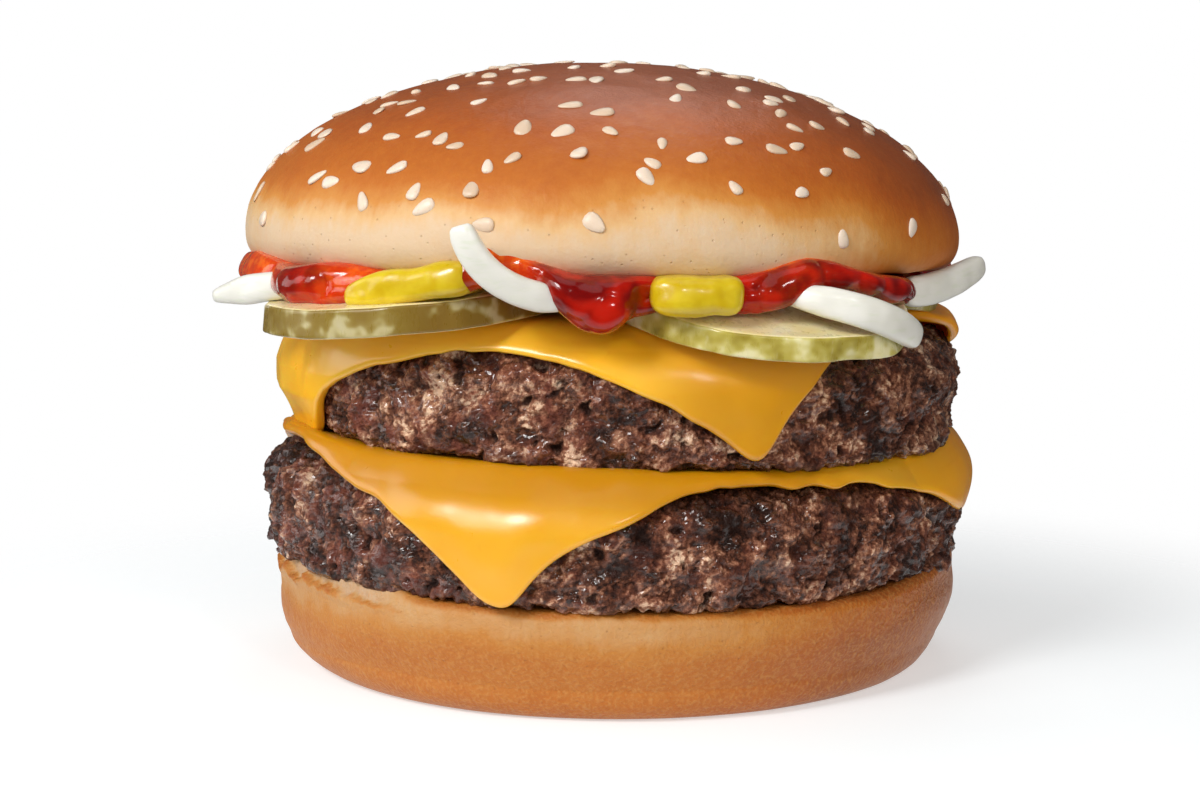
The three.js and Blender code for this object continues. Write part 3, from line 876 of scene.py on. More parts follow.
def beef_relief(points, salt):
    """Ground-beef crumbs on bent coordinates: rounded cells of two sizes with their own heights
    and the absolute value of noise, which creases between lumps, over slow swells, with ragged
    holes; some stretches are smoother. Gives the relief in mm, the crumbs' paleness and how
    deep a point lies."""
    slow = np.stack([noise(points, 6.5, salt + i) for i in range(3)], -1)
    quick = np.stack([noise(points, 1.5, salt + 3 + i) for i in range(3)], -1)
    bent = points + slow + 0.4 * quick
    large = np.abs(noise(bent, 6.0, salt + 6)) - 0.3
    middle = np.abs(noise(bent, 2.6, salt + 7)) - 0.3
    small = np.abs(noise(bent, 1.0, salt + 8)) - 0.3
    near, after, number = cells(bent, 2.2, salt + 13)
    granule = smooth(0, 0.35, after - near) * (0.3 + 0.7 * number)
    near, after, other = cells(bent, 0.95, salt + 14)
    grain = smooth(0, 0.35, after - near) * (0.3 + 0.7 * other) - 0.2 * near
    hole = smooth(0.38, 0.7, noise(bent, 2.2, salt + 10))
    crumbly = smooth(-0.4, 0.5, noise(points, 7, salt + 15))
    fine = 0.4 * granule + 0.65 * middle - 0.7 * hole
    fine = fine + mix(0.25, 0.5, crumbly) * (0.6 * grain + 0.95 * small)
    relief = 0.75 * slow[..., 0] + 1.5 * large + fine
    tone = 0.17 + 0.36 * noise(bent, 3.4, salt + 11) + 0.30 * noise(points, 9, salt + 12)
    tone = tone + 0.18 * number + 0.20 * other + 0.40 * small
    hollow = smooth(0.05, -0.55, fine + 0.4 * large)
    return relief - 0.4, tone, hollow


def make_patty(patty, finish):
    """A disc with a quarter circle for its top edge and a tighter one for its bottom edge, its
    height stretched between the patty's floor and roof, whose side is covered with beef_relief,
    pushed out along the profile's own normal."""
    bottom_rim = patty.bottom_rim
    thickness = patty.top - patty.bottom
    top_arc = np.linspace(0, 90, 32) * DEGREE
    low_arc = np.linspace(-90, 0, 16) * DEGREE
    side = np.linspace(0, 1, 44)[1:-1]
    hidden = np.array([0, 0.5, 0.8, 0.93])
    top_inner = patty.radius - PATTY_RIM
    low_inner = patty.radius - bottom_rim
    distance = np.concatenate([hidden * low_inner, low_inner + bottom_rim * np.cos(low_arc),
                               side * 0 + patty.radius, top_inner + PATTY_RIM * np.cos(top_arc),
                               hidden[::-1] * top_inner])
    rise = np.concatenate([hidden * 0 - 1, np.sin(low_arc), side * 0, np.sin(top_arc),
                           hidden * 0 + 1])
    height = np.concatenate([hidden * 0, bottom_rim * (1 + np.sin(low_arc)),
                             bottom_rim + (thickness - PATTY_RIM - bottom_rim) * side,
                             thickness - PATTY_RIM * (1 - np.sin(top_arc)),
                             hidden * 0 + thickness])
    azimuth = around(PATTY_COLUMNS)[None, :]
    turn = azimuth / DEGREE
    swell = patty.radius_at(azimuth) - patty.radius
    swell = swell * np.clip(distance / top_inner, 0, 1)[:, None]
    share = height[:, None] / thickness
    right = between(turn, *PATTY_RIGHT)
    left = between(turn, *PATTY_LEFT)
    outer = smooth(top_inner - 4, top_inner + 1, distance)[:, None]
    lean = patty.flare * right * mix(0.7, 1.1, smooth(0.35, 0.8, share))
    reach = distance[:, None] + swell + outer * lean
    reach = reach - patty.tuck * left * outer * smooth(0.5, 0, share)
    points = polar(patty.x, azimuth, reach, height[:, None] * np.ones_like(azimuth))
    x = points[..., 0]
    points[..., 2] = mix(patty.floor(x), patty.roof(x, reach), share)
    relief, tone, hollow = beef_relief(points, patty.salt)
    push = relief * smooth(top_inner - 5, top_inner + 1, distance)[:, None]
    push = np.where(rise[:, None] < -0.5, np.minimum(push, 0.2), push)
    spread = np.sqrt(1 - rise**2)[:, None]
    points += polar(0, azimuth, spread * push, rise[:, None] * push)
    edge = np.abs(2 * share - 1)
    smoke = noise(points, 6, patty.salt + 20)
    burnt_edges = 0.45 * smooth(0.7, 1.0, edge + 0.3 * smoke)
    # partly char, partly painted shade: darker towards the right side
    burnt_right = 0.6 * smooth(52, 92, turn + 20 * smoke) * (1 - smooth(120, 160, turn))
    burnt_left = 0.6 * smooth(-62, -84, turn + 12 * smoke) * smooth(-130, -100, turn)
    burnt_spots = 0.35 * smooth(0.25, 0.6, noise(points, 4.5, patty.salt + 21))
    char = burnt_edges + burnt_right + burnt_left + burnt_spots
    rosy = smooth(10, -50, turn + 20 * smoke) * smooth(-150, -100, turn)
    data = {"tone": tone + patty.pale, "hollow": hollow, "char": char, "rosy": rosy}
    return ring_piece(patty.node + "_meat", points, finish, data)


# ------------------------------------------------------------------ cheese


def along(azimuth, stations, column=1):
    """A value at each azimuth in radians from rows of (azimuth in degrees, value, ...), joined
    by straight lines round the full turn and then softened over two degrees each way."""
    rows = np.array(stations, float)
    turns = np.concatenate([rows[:, 0] - 360, rows[:, 0], rows[:, 0] + 360])
    spread = np.linspace(-2, 2, 9)
    weight = 1.2 - np.abs(spread) / 2
    turn = azimuth[..., None] / DEGREE + spread
    values = np.interp(turn, turns, np.tile(rows[:, column], 3))
    return (values * weight).sum(-1) / weight.sum()


SLICE_BEND = PATTY_RIM + SLICE_GAP + SLICE_THICKNESS / 2  # radius of its bend at mid thickness
BEND_LENGTH = SLICE_BEND * math.pi / 2
RIDGE_WIDTH = 2.0


def drape(patty, azimuth, run, lift):
    """A point of a sheet that lies `lift` over a patty and bends down over its rim, at a `run`
    along the sheet from the centre: flat, then a quarter circle, then straight down."""
    inner = patty.radius_at(azimuth) - PATTY_RIM
    past = np.maximum(0, run - inner)
    bend = np.minimum(1, past / BEND_LENGTH) * math.pi / 2
    hang = np.maximum(0, past - BEND_LENGTH)
    distance = np.minimum(run, inner) + (PATTY_RIM + lift) * np.sin(bend)
    x = patty.x + distance * np.sin(azimuth)
    roof = patty.roof(x, np.minimum(distance, inner + PATTY_RIM))
    height = roof - PATTY_RIM + (PATTY_RIM + lift) * np.cos(bend) - hang
    return distance, height


def edge_reach(patty, azimuth, edge_height):
    """The run along a sheet at which drape() has come down to a height: past the rim's quarter
    circle by the height still to fall, or partway round it."""
    inner = patty.radius_at(azimuth) - PATTY_RIM
    side = patty.x + (patty.radius + SLICE_BEND - PATTY_RIM) * np.sin(azimuth)
    hang = patty.roof(side, patty.radius) - PATTY_RIM - edge_height
    cosine = np.clip(-hang / SLICE_BEND, 0, 1)
    return inner + np.where(hang > 0, BEND_LENGTH + hang, SLICE_BEND * np.arccos(cosine))


def make_slice(name, patty, edge_heights, swells, ridge, finish, salt):
    """A cheese slice: drape() at the top face's lift out to the edge, a half circle round the
    edge, and drape() at the underside's lift back to the centre. edge_heights gives the height
    of the edge by azimuth. swells are places where the sheet stands off: azimuth, half width in
    degrees, height, half height, how far out and how far up. A slice under a patty has a ridge
    of a height pressed up round it and painted shade: darker all over, more so in the patty's
    shadow. The upper slice has painted shade on its front corner."""
    azimuth = around(SLICE_COLUMNS)[None, :]
    turn = azimuth / DEGREE
    ring = np.stack([np.cos(azimuth) * 45, np.sin(azimuth) * 45, azimuth * 0 + salt * 9], -1)
    level = along(azimuth, edge_heights) + 0.25 * noise(ring, 3.5, salt)
    reach = edge_reach(patty, azimuth, level)
    half = SLICE_THICKNESS / 2
    inner = patty.radius - PATTY_RIM - 3
    top_share = np.linspace(0, 1, 64)
    back_share = np.linspace(1, 0, 24)
    edge = np.linspace(90, -90, 15)[1:-1] * DEGREE
    tip = half * 0.9
    rows = [(np.full_like(azimuth, start * inner), half) for start in (0, 0.6)]
    rows += [(mix(inner, reach - tip, s), half) for s in top_share]
    rows += [(reach - tip + tip * math.cos(t), half * math.sin(t)) for t in edge]
    rows += [(mix(inner, reach - tip, s), -half) for s in back_share]
    rows += [(np.full_like(azimuth, start * inner), -half) for start in (0.6, 0)]
    run = np.concatenate([r for r, _ in rows])
    side = np.array([s for _, s in rows])[:, None]
    middle = SLICE_GAP + half
    fall = 0.7 * np.maximum(0, run - inner)
    plain = polar(patty.x, azimuth, np.minimum(run, patty.radius), -fall)
    outer = smooth(inner, inner + 6, run)
    ripple = 0.30 * noise(plain + (0, 0, salt * 7), 8, salt + 2)
    ripple = ripple + 0.08 * noise(plain, 3.2, salt + 3)
    thinner = 1 - 0.42 * smooth(7, 0, reach - run) * (side > 0)
    lift = middle + side * thinner + ripple * outer - 0.1
    distance, height = drape(patty, azimuth, run, lift)
    height = height + ridge * np.exp(-((distance - UPPER.radius) / RIDGE_WIDTH) ** 2)
    for at, half_turn, level, half_height, far, raised in swells:
        off = turn_wrap(azimuth - at * DEGREE) / DEGREE / half_turn
        window = np.maximum(0, 1 - off**2)
        window = window * np.maximum(0, 1 - ((height - level) / half_height) ** 2)
        distance = distance + far * window * outer
        height = height + raised * window * outer
    points = polar(patty.x, azimuth, distance, height)
    # painted shade: more orange on the slice's shaded right side
    deep = 0.8 * between(turn, *SLICE_DEEP)
    # painted shade: darker where the upper patty overhangs the lower slice
    pressed = smooth(inner + 13, inner + 7, run) * (1 - smooth(25, 55, turn))
    corner = between(turn, *SLICE_CORNER) + 0 * run
    # painted shade: the lower slice darker all over and under the patty, the upper one at its
    # front corner
    shade = 0.36 + 0.58 * pressed if ridge else 0.75 * corner
    data = {"deep": deep, "shade": shade[::-1]}
    return ring_piece(name, points[::-1], finish, data)


# ------------------------------------------------------------------ toppings


PICKLE_ROUND = 0.45  # radius of its rounded edges


def make_pickle(node, lie, finish, salt):
    """A pickle slice: a disc with a flat face, a small round and a slightly uneven rind. lie is
    its thickness, the height of its middle, its slopes to the right and to the back, how dull
    its rind is and how far it is shifted; where the cheese stands higher, the disc bends up
    over it. The distance from its middle is stretched by noise round the rind."""
    low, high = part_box(node)
    thickness, level, right, back, dull, shift = lie
    x0 = (low.x + high.x) / 2 / MM + shift[0]
    y0 = (low.y + high.y) / 2 / MM + shift[1]
    radius = (high.x - low.x) / 2 / MM
    half = thickness / 2
    inner = np.array([0, 0.3, 0.5, 0.65, 0.78, 0.88, 0.95]) * (radius - PICKLE_ROUND)
    arc = np.linspace(-90, 0, 7) * DEGREE
    side = np.linspace(-1, 1, 14)[1:-1] * (half - PICKLE_ROUND)
    corner = radius - PICKLE_ROUND + PICKLE_ROUND * np.cos(arc)
    lift = PICKLE_ROUND * (1 + np.sin(arc))
    distance = np.concatenate([inner, corner, side * 0 + radius, corner[::-1], inner[::-1]])
    height = np.concatenate([inner * 0 - half, lift - half, side, half - lift[::-1],
                             inner * 0 + half])
    azimuth = around(PICKLE_COLUMNS)[None, :]
    circle = np.stack([np.cos(azimuth) * radius, np.sin(azimuth) * radius, azimuth * 0 + salt], -1)
    rib = 0.5 * noise(circle, 7, salt) + 0.25 * np.abs(noise(circle, 3.4, salt + 1))
    reach = distance[:, None] * (1 + rib / radius)
    lean = 0.35 * noise(circle, 8, salt + 5) * height[:, None] / half
    reach = reach + lean * smooth(radius * 0.8, radius, distance)[:, None]
    x = x0 + reach * np.sin(azimuth)
    y = y0 - reach * np.cos(azimuth)
    wave = 0.2 * noise(np.stack([x, y, 0 * x], -1), 8, salt + 2)
    flat = level + right * (x - x0) + back * (y - y0)
    resting = topping_floor(x, y) + half + 0.1
    z = smooth_max([flat, resting], 0.4) + height[:, None] + wave
    on_rind = (distance > radius - PICKLE_ROUND * 0.7) & (np.abs(height) < half - 0.12)
    skin = np.broadcast_to(on_rind[:, None].astype(float), x.shape)
    # a duller rind, darker towards the right as painted shade
    data = {"skin": skin, "dull": dull * (1 + 0.7 * smooth(-4, 12, x - x0))}
    return ring_piece(node + "_slice", np.stack([x, y, z], -1), finish, data)


ONION_POWER = 2.7  # 2 is a round section, more is squarer


def make_onion(node, path, width, thickness, tips, finish, salt):
    """An onion sliver: a superellipse section carried along the parabola through three points,
    with blunt ends whose width narrows to the two shares in tips."""
    start, middle, end = (np.array(p, float) for p in path)
    t = np.concatenate([[0], np.linspace(0, 1, 70), [1]])
    blunt = 1 - 0.30 * np.abs(2 * t - 1) ** 12
    blunt[[0, -1]] = 0
    blunt[[1, -2]] *= 0.86
    tt = t[:, None]
    centre = start * (1 - tt) * (1 - 2 * tt) + middle * 4 * tt * (1 - tt) + end * tt * (2 * tt - 1)
    tangent = start * (4 * tt - 3) + middle * (4 - 8 * tt) + end * (4 * tt - 1)
    tangent = unit(tangent)
    outward = np.array([middle[0], middle[1], 0]) / np.hypot(middle[0], middle[1])
    thick = unit(outward - tangent * (tangent @ outward)[:, None])
    wide = np.cross(thick, tangent)
    u = full_turn(40)
    section_wide = np.sign(np.cos(u)) * np.abs(np.cos(u)) ** (2 / ONION_POWER)
    section_thick = np.sign(np.sin(u)) * np.abs(np.sin(u)) ** (2 / ONION_POWER)
    uneven = 1 + 0.10 * noise(centre, 9, salt)
    narrow = mix(tips[0], 1, smooth(0, 0.3, t)) * mix(tips[1], 1, smooth(1, 0.7, t))
    half_wide = (width / 2 * blunt * uneven * narrow)[:, None]
    half_thick = (thickness / 2 * blunt)[:, None]
    points = centre[:, None, :] \
        + wide[:, None, :] * (half_wide * section_wide)[..., None] \
        + thick[:, None, :] * (half_thick * section_thick)[..., None]
    bumps = 0.12 * noise(points, 2.4, salt + 1)[..., None]
    points += bumps * (thick[:, None, :] * section_thick[None, :, None])
    points[0] = points[0].mean(0)
    points[-1] = points[-1].mean(0)
    return ring_piece(node + "_sliver", points, finish)


def crown_side(height):
    """Distance of the crown's surface from its centre line at a height near its lower edge."""
    lower = np.clip((CROWN_WIDEST - height) / (CROWN_WIDEST - CROWN_BOTTOM), 0, 1)
    return CROWN_EDGE + (CROWN_RADIUS - CROWN_EDGE) * np.sqrt(1 - lower**2)


def section_path():
    """Shares along a sauce's section, which is a flat strip with a half circle at its outer
    end: the angle up the half circle, how far towards the inner end, and the share of height."""
    angle = np.linspace(-90, 90, 50)
    straight = np.linspace(0, 1, 10)[1:]
    drop = np.linspace(0, 1, 6)[1:-1]
    turn = np.concatenate([angle, straight * 0 + 90, 90 - drop * 180, straight * 0 - 90])
    inward = np.concatenate([angle * 0, straight, drop * 0 + 1, 1 - straight])
    front = np.concatenate([angle * 0 + 1, straight * 0, drop * 0, straight * 0])
    return turn[None, :-1] * DEGREE, inward[None, :-1], front[None, :-1]


SAUCE_REACH = 50.0  # about where the sauce ends
DOME_SIZE = 5.4
DOME_HEIGHT = 3.2


def squeeze(azimuth, stations, inner, domes, salt):
    """Sauce pressed out between pickles and crown: at each azimuth a strip with a half circle
    at its outer end reaches from an inner distance out to its crest and from a low to a high
    level, by stations of (azimuth, low, high, crest, film). It swells into domes over scattered
    seeds, sqrt(1 - d^2), by the share domes; a film's crest lies lower than half way up, and
    where the sauce climbs past the crown's lower edge it clings to the crown's side, thinning
    upwards."""
    low, high, crest, thin = (along(azimuth, stations, c)[:, None] for c in (1, 2, 3, 4))
    turn, inward, front = section_path()
    ring = polar(0, azimuth[:, None], SAUCE_REACH, 0 * azimuth[:, None])
    low = low + 0.4 * noise(ring, 4.0, salt + 4)
    half = (high - low) / 2
    risen = 2 * ((1 + np.sin(turn)) / 2) ** (1 - 0.6 * thin) - 1
    power = 2.8 - 0.8 * domes
    bulge = np.maximum(0, 1 - np.abs(risen) ** power) ** (1 / power)
    distance = mix(crest - half + half * bulge * front, inner, inward)
    height = (low + high) / 2 + half * np.sin(turn)
    spot = polar(0, azimuth[:, None], distance, height)
    near = cells(spot, DOME_SIZE, salt)[0]
    lump = DOME_HEIGHT * domes * (np.sqrt(np.maximum(0, 1 - near**2)) - 0.78)
    lump = lump + waves(spot, (0.8, 6, salt + 1), (0.22, 2.6, salt + 2))
    lump = lump * front * (1 - 0.7 * thin)
    distance = distance + lump * np.cos(turn)
    height = height + 0.5 * lump * np.minimum(np.sin(turn), 0.2)
    sag = crown_floor(CROWN_X + CROWN_RADIUS * np.sin(azimuth[:, None])) - CROWN_BOTTOM
    above = height - sag - CROWN_BOTTOM
    climb = np.maximum(high - sag - CROWN_BOTTOM, 0.05)
    cling = np.sqrt(np.maximum(0, 1 - (above / climb) ** 2))
    cling = cling * (0.6 + 0.35 * noise(spot, 3, salt + 3)) - 0.08
    side = crown_side(height - sag)
    clung = np.maximum(distance, side + cling)
    distance = np.where((above > 0) & (front > 0), clung, distance)
    points = polar(CROWN_X, azimuth[:, None], distance, height)
    film = smooth(1.2, 0.3, distance - side) * smooth(-0.3, 0.8, above)
    return points, np.maximum(film, thin * front)


def make_ketchup(finish):
    """The ketchup all round the burger as one closed loop of squeeze()."""
    azimuth = around(KETCHUP_COLUMNS)
    points, film = squeeze(azimuth, KETCHUP, 40.0, 1.0, 61)
    return loop_piece("ketchup_layer", points, finish, {"film": film})


DOLLOP_END = 2.4  # degrees over which a dollop closes at each end


def make_mustard(node, stations, finish, salt):
    """A dollop of mustard: squeeze() over a part of the turn, closed at both ends by shrinking
    onto its middle by the superellipse (1 - a^3)^(1/3)."""
    first, last = stations[0][0], stations[-1][0]
    share = (1 - np.cos(np.linspace(0, math.pi, 110))) / 2
    azimuth = (first + (last - first) * share) * DEGREE
    points = squeeze(azimuth, stations, 42.0, 0.0, salt)[0]
    middle = points.mean(1, keepdims=True)
    away = 1 - np.minimum(1, np.minimum(share, 1 - share) * (last - first) / DOLLOP_END)
    end = (1 - away**3) ** (1 / 3)
    points = middle + (points - middle) * end[:, None, None]
    return ring_piece(node + "_dollop", points, finish)


# ------------------------------------------------------------------ build the pieces

crust = crust_finish("baked crust", 0.04, 0.0)
heel_crust = crust_finish("heel crust", 0.48, 0.42)
beef = beef_finish()
cheese = cheese_finish()
pickle = pickle_finish()
onion = onion_finish()
red = ketchup_finish()
yellow = mustard_finish()
sesame = seed_finish()

# Height of each slice's edge, as azimuth in degrees and mm.
LOWER_EDGE = [
    (-150, 30.6), (-140, 27.0), (-130, 21.5), (-124, 19.4), (-116, 23.0), (-106, 28.8),
    (-96, 32.0), (-84, 32.2), (-72, 31.9), (-64, 31.6), (-58, 31.2), (-52, 30.6), (-48, 30.0),
    (-45, 29.5), (-42, 28.9), (-38, 28.2), (-35, 27.1), (-31, 25.1), (-27, 22.7), (-23, 19.9),
    (-20, 17.6), (-17.5, 16.3), (-14.5, 16.1), (-12, 18.7), (-9, 21.8), (-6, 23.8), (-2, 25.5),
    (3, 27.4), (6, 28.5), (9, 29.3), (14, 29.9), (19, 29.6), (25, 29.8), (30, 29.0), (34, 29.3),
    (38, 28.5), (43, 28.9), (51, 28.0), (57, 27.4), (62, 25.8), (67, 23.6), (73, 21.8), (80, 21.4),
    (86, 22.8), (93, 26.0), (104, 29.5), (130, 30.8), (145, 28.6), (154, 24), (163, 18.5),
    (168, 19), (176, 24.5), (188, 29.5),
]
UPPER_EDGE = [
    (-120, 45.5), (-110, 42.0), (-99, 37.6), (-90, 34.9), (-78, 34.0), (-66, 33.8), (-62.5, 34.4),
    (-60.5, 37.6), (-57, 40.6), (-49, 43.4), (-43, 45.2), (-36, 46.2), (-31, 47.3), (-24, 47.9),
    (-17, 47.6), (-11, 46.9), (-5, 45.5), (1, 43.4), (5, 42.0), (8, 40.9), (14, 37.9), (18, 35.3),
    (20.5, 34.0), (22.5, 34.4), (24, 36.6), (26, 39.4), (29, 42.2), (33, 45.2), (40, 47.6),
    (52, 49.0), (62, 49.0), (70, 49.2), (78, 48.8), (88, 46.2), (98, 43.0), (107, 38.6),
    (113, 36.6), (120, 40), (132, 45), (150, 48), (172, 47), (188, 43), (197, 37), (203, 33.8),
    (208, 35), (216, 41), (226, 45.5),
]

# Places where a slice stands off: azimuth, half width, height, half height, out and up.
LOWER_SWELLS = [(86, 28, 30, 9, 2.1, 2.4), (-66, 20, 33.5, 4.5, 1.3, 1.9)]
UPPER_SWELLS = [(-84, 34, 32.5, 7, -2.2, 0), (-84, 40, 48, 5, -1.0, 0),
                (100, 29, 48.5, 7, 4.2, 0.8)]
# Each onion's path through three points, width, thickness and how narrow its two ends are.
ONIONS = {
    "onion_left": (
        [(-37, -33.5, 55.9), (-45.5, -28.5, 55.0), (-54.0, -21, 53.1)], 3.8, 2.6, (1, 0.62)),
    "onion_front": (
        [(-3, -49.4, 54.7), (-13.8, -53.2, 57.0), (-19.2, -53.8, 64.2)], 3.6, 2.4, (0.4, 1)),
    "onion_front_right": (
        [(19, -43.8, 55.4), (30.6, -46.4, 53.1), (38.0, -38.6, 49.2)], 4.1, 2.8, (0.55, 0.9)),
    "onion_right": (
        [(38.6, -23.5, 53.9), (44, -19.5, 54.4), (50.4, -12, 56.7)], 4.3, 2.8, (1, 0.8)),
    "onion_back": (
        [(6, 40, 54.9), (15, 48, 54.2), (27, 50, 52.2)], 4.0, 2.6, (0.6, 0.8)),
}
# Each pickle's thickness, middle height, slopes to the right and the back, dullness and shift.
PICKLES = {
    "pickle_front_left": (3.8, 53.0, 0.09, 0.04, 0.80, (0, 0)),
    "pickle_front_right": (3.2, 51.3, -0.08, 0.11, 0.0, (0, 0)),
    "pickle_back_right": (3.2, 51.2, -0.08, 0.0, 0.1, (0.6, -8.3)),
    "pickle_back_left": (3.3, 52.9, 0.06, -0.06, 0.1, (0, 0)),
}
# Sauce stations: azimuth in degrees, low level, high level and crest in mm, and how thin.
KETCHUP = [
    (-92, 54.4, 57.4, 47.0, 0.4), (-84, 55.2, 57.9, 50.6, 0.9), (-76, 55.5, 58.6, 52.0, 1),
    (-68, 55.2, 59.2, 52.4, 1), (-61, 55.0, 58.6, 52.4, 1), (-57, 54.5, 58.0, 52.8, 0.8),
    (-53.5, 53.6, 57.8, 53.4, 0.4), (-49.5, 52.8, 58.0, 54.6, 0), (-45, 52.9, 58.7, 53.8, 0.1),
    (-41, 53.4, 58.6, 52.2, 0.6), (-36, 54.2, 58.0, 50.8, 0.9), (-30, 54.6, 57.8, 49.0, 0.4),
    (-24, 54.8, 58.2, 49.4, 0), (-20.5, 55.6, 59.2, 52.0, 0), (-18, 56.4, 61.8, 50.6, 0.7),
    (-14, 57.0, 60.9, 50.8, 0.9), (-11, 56.4, 59.9, 51.6, 0.6), (-8.5, 55.4, 59.3, 52.6, 0.1),
    (-6.5, 54.0, 58.8, 53.0, 0), (-4, 51.9, 58.0, 53.4, 0), (-1, 50.3, 58.0, 53.8, 0),
    (2, 51.2, 57.9, 53.4, 0), (5, 53.0, 57.8, 52.0, 0), (9, 53.6, 57.6, 49.8, 0),
    (16, 53.4, 57.5, 49.4, 0), (20, 52.9, 57.6, 51.8, 0), (24, 52.9, 58.3, 52.8, 0.1),
    (27, 54.2, 59.2, 53.0, 0.1), (30, 55.4, 59.9, 53.0, 0.1), (34, 55.4, 59.3, 52.8, 0),
    (39, 54.9, 57.9, 52.8, 0), (43, 54.0, 57.2, 52.8, 0), (48, 53.2, 56.7, 52.6, 0),
    (52, 52.7, 56.3, 52.0, 0), (56, 52.6, 55.6, 49.0, 0), (62, 52.8, 55.8, 46.0, 0),
    (92, 52.8, 56.9, 46.0, 0), (100, 52.0, 57.4, 50.6, 0), (108, 51.6, 58.0, 51.4, 0),
    (117, 52.4, 57.4, 46.8, 0), (150, 53.0, 57.5, 47.0, 0), (160, 52.6, 58.8, 51.4, 0.2),
    (168, 51.6, 59.0, 52.6, 0), (177, 52.8, 58.0, 51.0, 0), (188, 53.4, 57.7, 46.6, 0),
    (218, 53.6, 57.9, 48.0, 0.2), (228, 53.0, 59.7, 51.6, 0.5), (236, 53.0, 58.6, 52.2, 0),
    (246, 53.8, 57.8, 47.0, 0),
]
MUSTARDS = {
    "mustard_front_left": [
        (-39.5, 53.2, 55.6, 52.6, 0), (-36.5, 53.2, 57.0, 53.4, 0), (-33, 53.4, 58.2, 53.4, 0),
        (-28, 53.8, 58.4, 52.8, 0), (-23.5, 54.8, 59.6, 52.6, 0), (-19, 55.2, 59.4, 52.0, 0)],
    "mustard_front_right": [
        (6.4, 53.3, 57.6, 53.4, 0), (10, 53.0, 58.0, 54.2, 0), (15, 52.9, 57.7, 54.4, 0),
        (19.3, 53.1, 57.9, 53.4, 0)],
    "mustard_back_right": [
        (128, 53.0, 57.2, 51.4, 0), (134, 52.4, 57.9, 53.0, 0), (144, 52.6, 57.8, 52.4, 0),
        (150, 53.2, 57.2, 50.6, 0)],
    "mustard_back_left": [
        (189, 53.6, 57.4, 51.0, 0), (196, 53.2, 58.2, 53.0, 0), (206, 53.4, 58.4, 52.6, 0),
        (214, 54.0, 57.6, 50.6, 0)],
}

parts = [
    (make_crown(crust), "bun", "bun_crown"),
    (make_heel(heel_crust), "bun", "bun_heel"),
    (make_seeds(sesame), "bun", None),
    (make_patty(LOWER, beef), "beef", "patty_lower"),
    (make_patty(UPPER, beef), "beef", "patty_upper"),
    (make_slice("cheese_lower_slice", LOWER, LOWER_EDGE, LOWER_SWELLS, 0.7, cheese, 71),
     "cheese", "cheese_lower"),
    (make_slice("cheese_upper_slice", UPPER, UPPER_EDGE, UPPER_SWELLS, 0, cheese, 81),
     "cheese", "cheese_upper"),
    (make_ketchup(red), "ketchup", "ketchup"),
]
for salt, (node, lie) in enumerate(PICKLES.items()):
    parts.append((make_pickle(node, lie, pickle, 90 + salt * 4), "pickle", node))
for salt, (node, shape) in enumerate(ONIONS.items()):
    parts.append((make_onion(node, *shape, onion, 120 + salt * 4), "onion", node))
for salt, (node, stations) in enumerate(MUSTARDS.items()):
    parts.append((make_mustard(node, stations, yellow, 150 + salt * 5), "mustard", node))

for piece, slot, node in parts:
    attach(piece, "root")
    if node:
        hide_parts(node)


# ------------------------------------------------------------------ stage


FLOOR_SIZE = 1000
FLOOR_FADE = (64, 150)  # distances between which it fades out
FLOOR_GLOW = 0.47
WORLD_LIGHT = 0.08
BACKDROP_RADIUS = 3000


def make_floor():
    """A pale floor that fades out, so that it meets the backdrop without a line."""
    f = Finish("pale floor", Roughness=0.9, Specular_IOR_Level=0.1)
    far = f.node("ShaderNodeVectorMath", {"operation": "LENGTH"}, {0: f.place()}, "Value")
    f.set(Base_Color=FLOOR_GREY, Alpha=1 - far.step(*FLOOR_FADE))
    f.set(Emission_Color=WHITE, Emission_Strength=FLOOR_GLOW)
    mesh = bpy.data.meshes.new("floor")
    half = FLOOR_SIZE / 2 * MM
    corners = [(-half, -half, 0), (half, -half, 0), (half, half, 0), (-half, half, 0)]
    mesh.from_pydata(corners, [], [(0, 1, 2, 3)])
    mesh.materials.append(f.material)
    floor = add_object("floor", mesh)


def area_light(name, place, target, size, power, colour=WHITE, shine=True):
    """A square soft box at a place in metres, facing a target, with its side in metres and its
    power in watts. Without shine it fills the shadows but isn't mirrored."""
    data = bpy.data.lights.new(name, "AREA")
    data.size = size
    data.energy = power
    data.color = colour
    light = add_object(name, data)
    light.location = place
    direction = Vector(target) - Vector(place)
    light.rotation_euler = direction.to_track_quat("-Z", "Y").to_euler()
    light.visible_glossy = shine


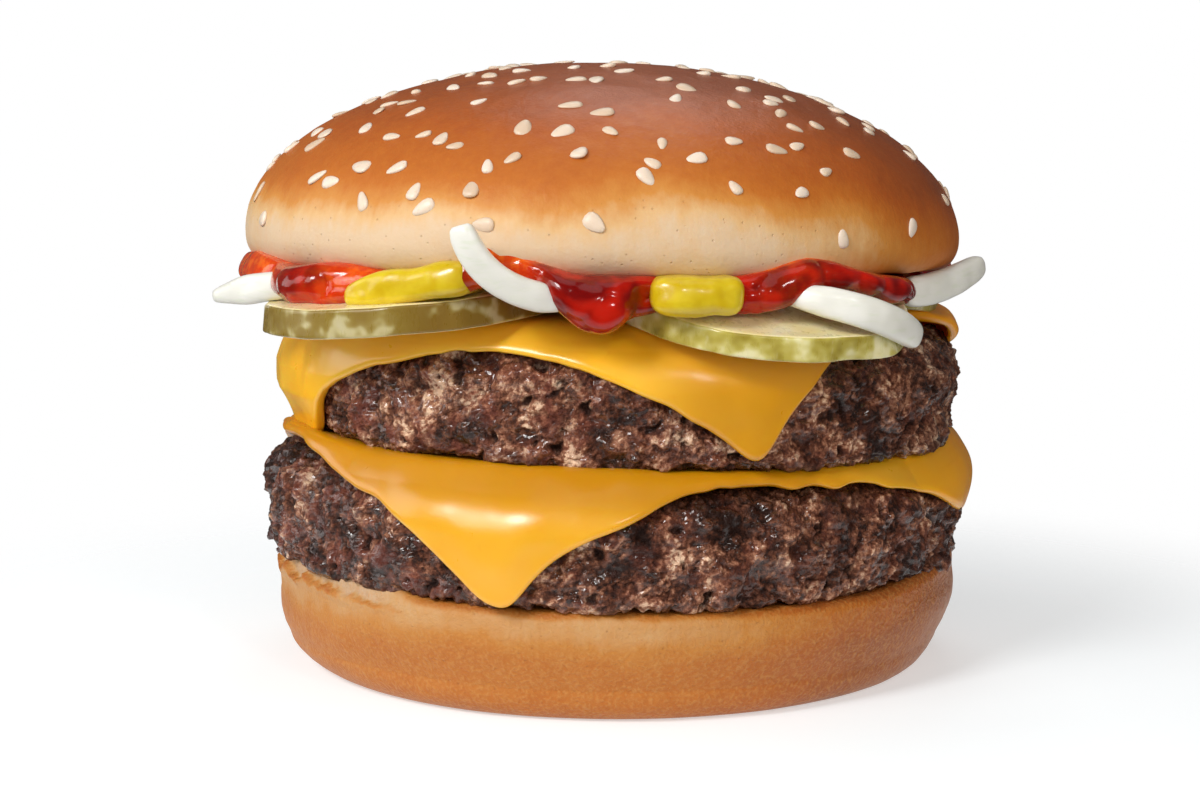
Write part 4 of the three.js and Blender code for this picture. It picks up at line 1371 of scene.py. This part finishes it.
def make_backdrop():
    """A white sky that only the camera sees, and a dimmer one that lights the food."""
    world = bpy.data.worlds.new("studio")
    world.use_nodes = True
    bpy.context.scene.world = world
    sky = world.node_tree.nodes["Background"].inputs
    sky["Color"].default_value = (*WHITE, 1)
    sky["Strength"].default_value = WORLD_LIGHT
    f = Finish("backdrop", Roughness=1.0, Specular_IOR_Level=0.0, Emission_Strength=1.0)
    f.set(Base_Color=(0, 0, 0), Emission_Color=WHITE)
    u = full_turn(48)
    v = np.linspace(-90, 90, 25)[:, None] * DEGREE
    ball = np.stack([np.cos(v) * np.cos(u), np.cos(v) * np.sin(u), np.sin(v) + 0 * u], -1)
    dome = ring_piece("backdrop", BACKDROP_RADIUS * ball, f.material)
    for ray in ("diffuse", "glossy", "transmission", "volume_scatter", "shadow"):
        setattr(dome, "visible_" + ray, False)


PICTURE_WIDTH = 1200
SENSOR_WIDTH = 36
CAMERA_FOCUS = 2364  # focal length in the picture's pixels
CAMERA_X = -2.3
CAMERA_DISTANCE = 340
CAMERA_HEIGHT = 78.1
CAMERA_DOWN = 7.0  # degrees below level


def make_camera():
    """The camera stands in front, a little above the crown's top, and looks slightly down."""
    data = bpy.data.cameras.new("camera")
    data.sensor_width = SENSOR_WIDTH
    data.lens = CAMERA_FOCUS * SENSOR_WIDTH / PICTURE_WIDTH
    camera = add_object("camera", data)
    camera.location = (CAMERA_X * MM, -CAMERA_DISTANCE * MM, CAMERA_HEIGHT * MM)
    camera.rotation_euler = ((90 - CAMERA_DOWN) * DEGREE, 0, 0)
    bpy.context.scene.camera = camera


make_floor()
make_backdrop()
make_camera()
MIDDLE = (0, 0, 0.045)  # what most lights face
WARM = (1.0, 0.98, 0.95)
PEACH = (1.0, 0.93, 0.86)
area_light("key", (-0.54, -0.44, 0.36), MIDDLE, 0.36, 1.7, WARM)
area_light("left", (-0.62, 0.04, 0.22), MIDDLE, 0.4, 1.05)
area_light("spark", (-0.35, -0.50, 0.45), MIDDLE, 0.20, 2.8)
area_light("glint", (0.20, -0.55, 0.38), MIDDLE, 0.07, 0.42)
area_light("overhead", (0.02, -0.10, 0.60), (0, 0, 0.06), 0.34, 0.26)
area_light("front", (0.04, -0.68, 0.16), MIDDLE, 0.4, 1.15, WARM, shine=False)
area_light("side", (0.56, -0.30, 0.16), (0, 0, 0.05), 0.3, 0.95, PEACH, shine=False)
area_light("back", (0.04, 0.32, 0.52), (0, 0, 0.07), 0.22, 0.45)

scene = bpy.context.scene
scene.view_settings.view_transform = "Standard"
scene.view_settings.look = "None"
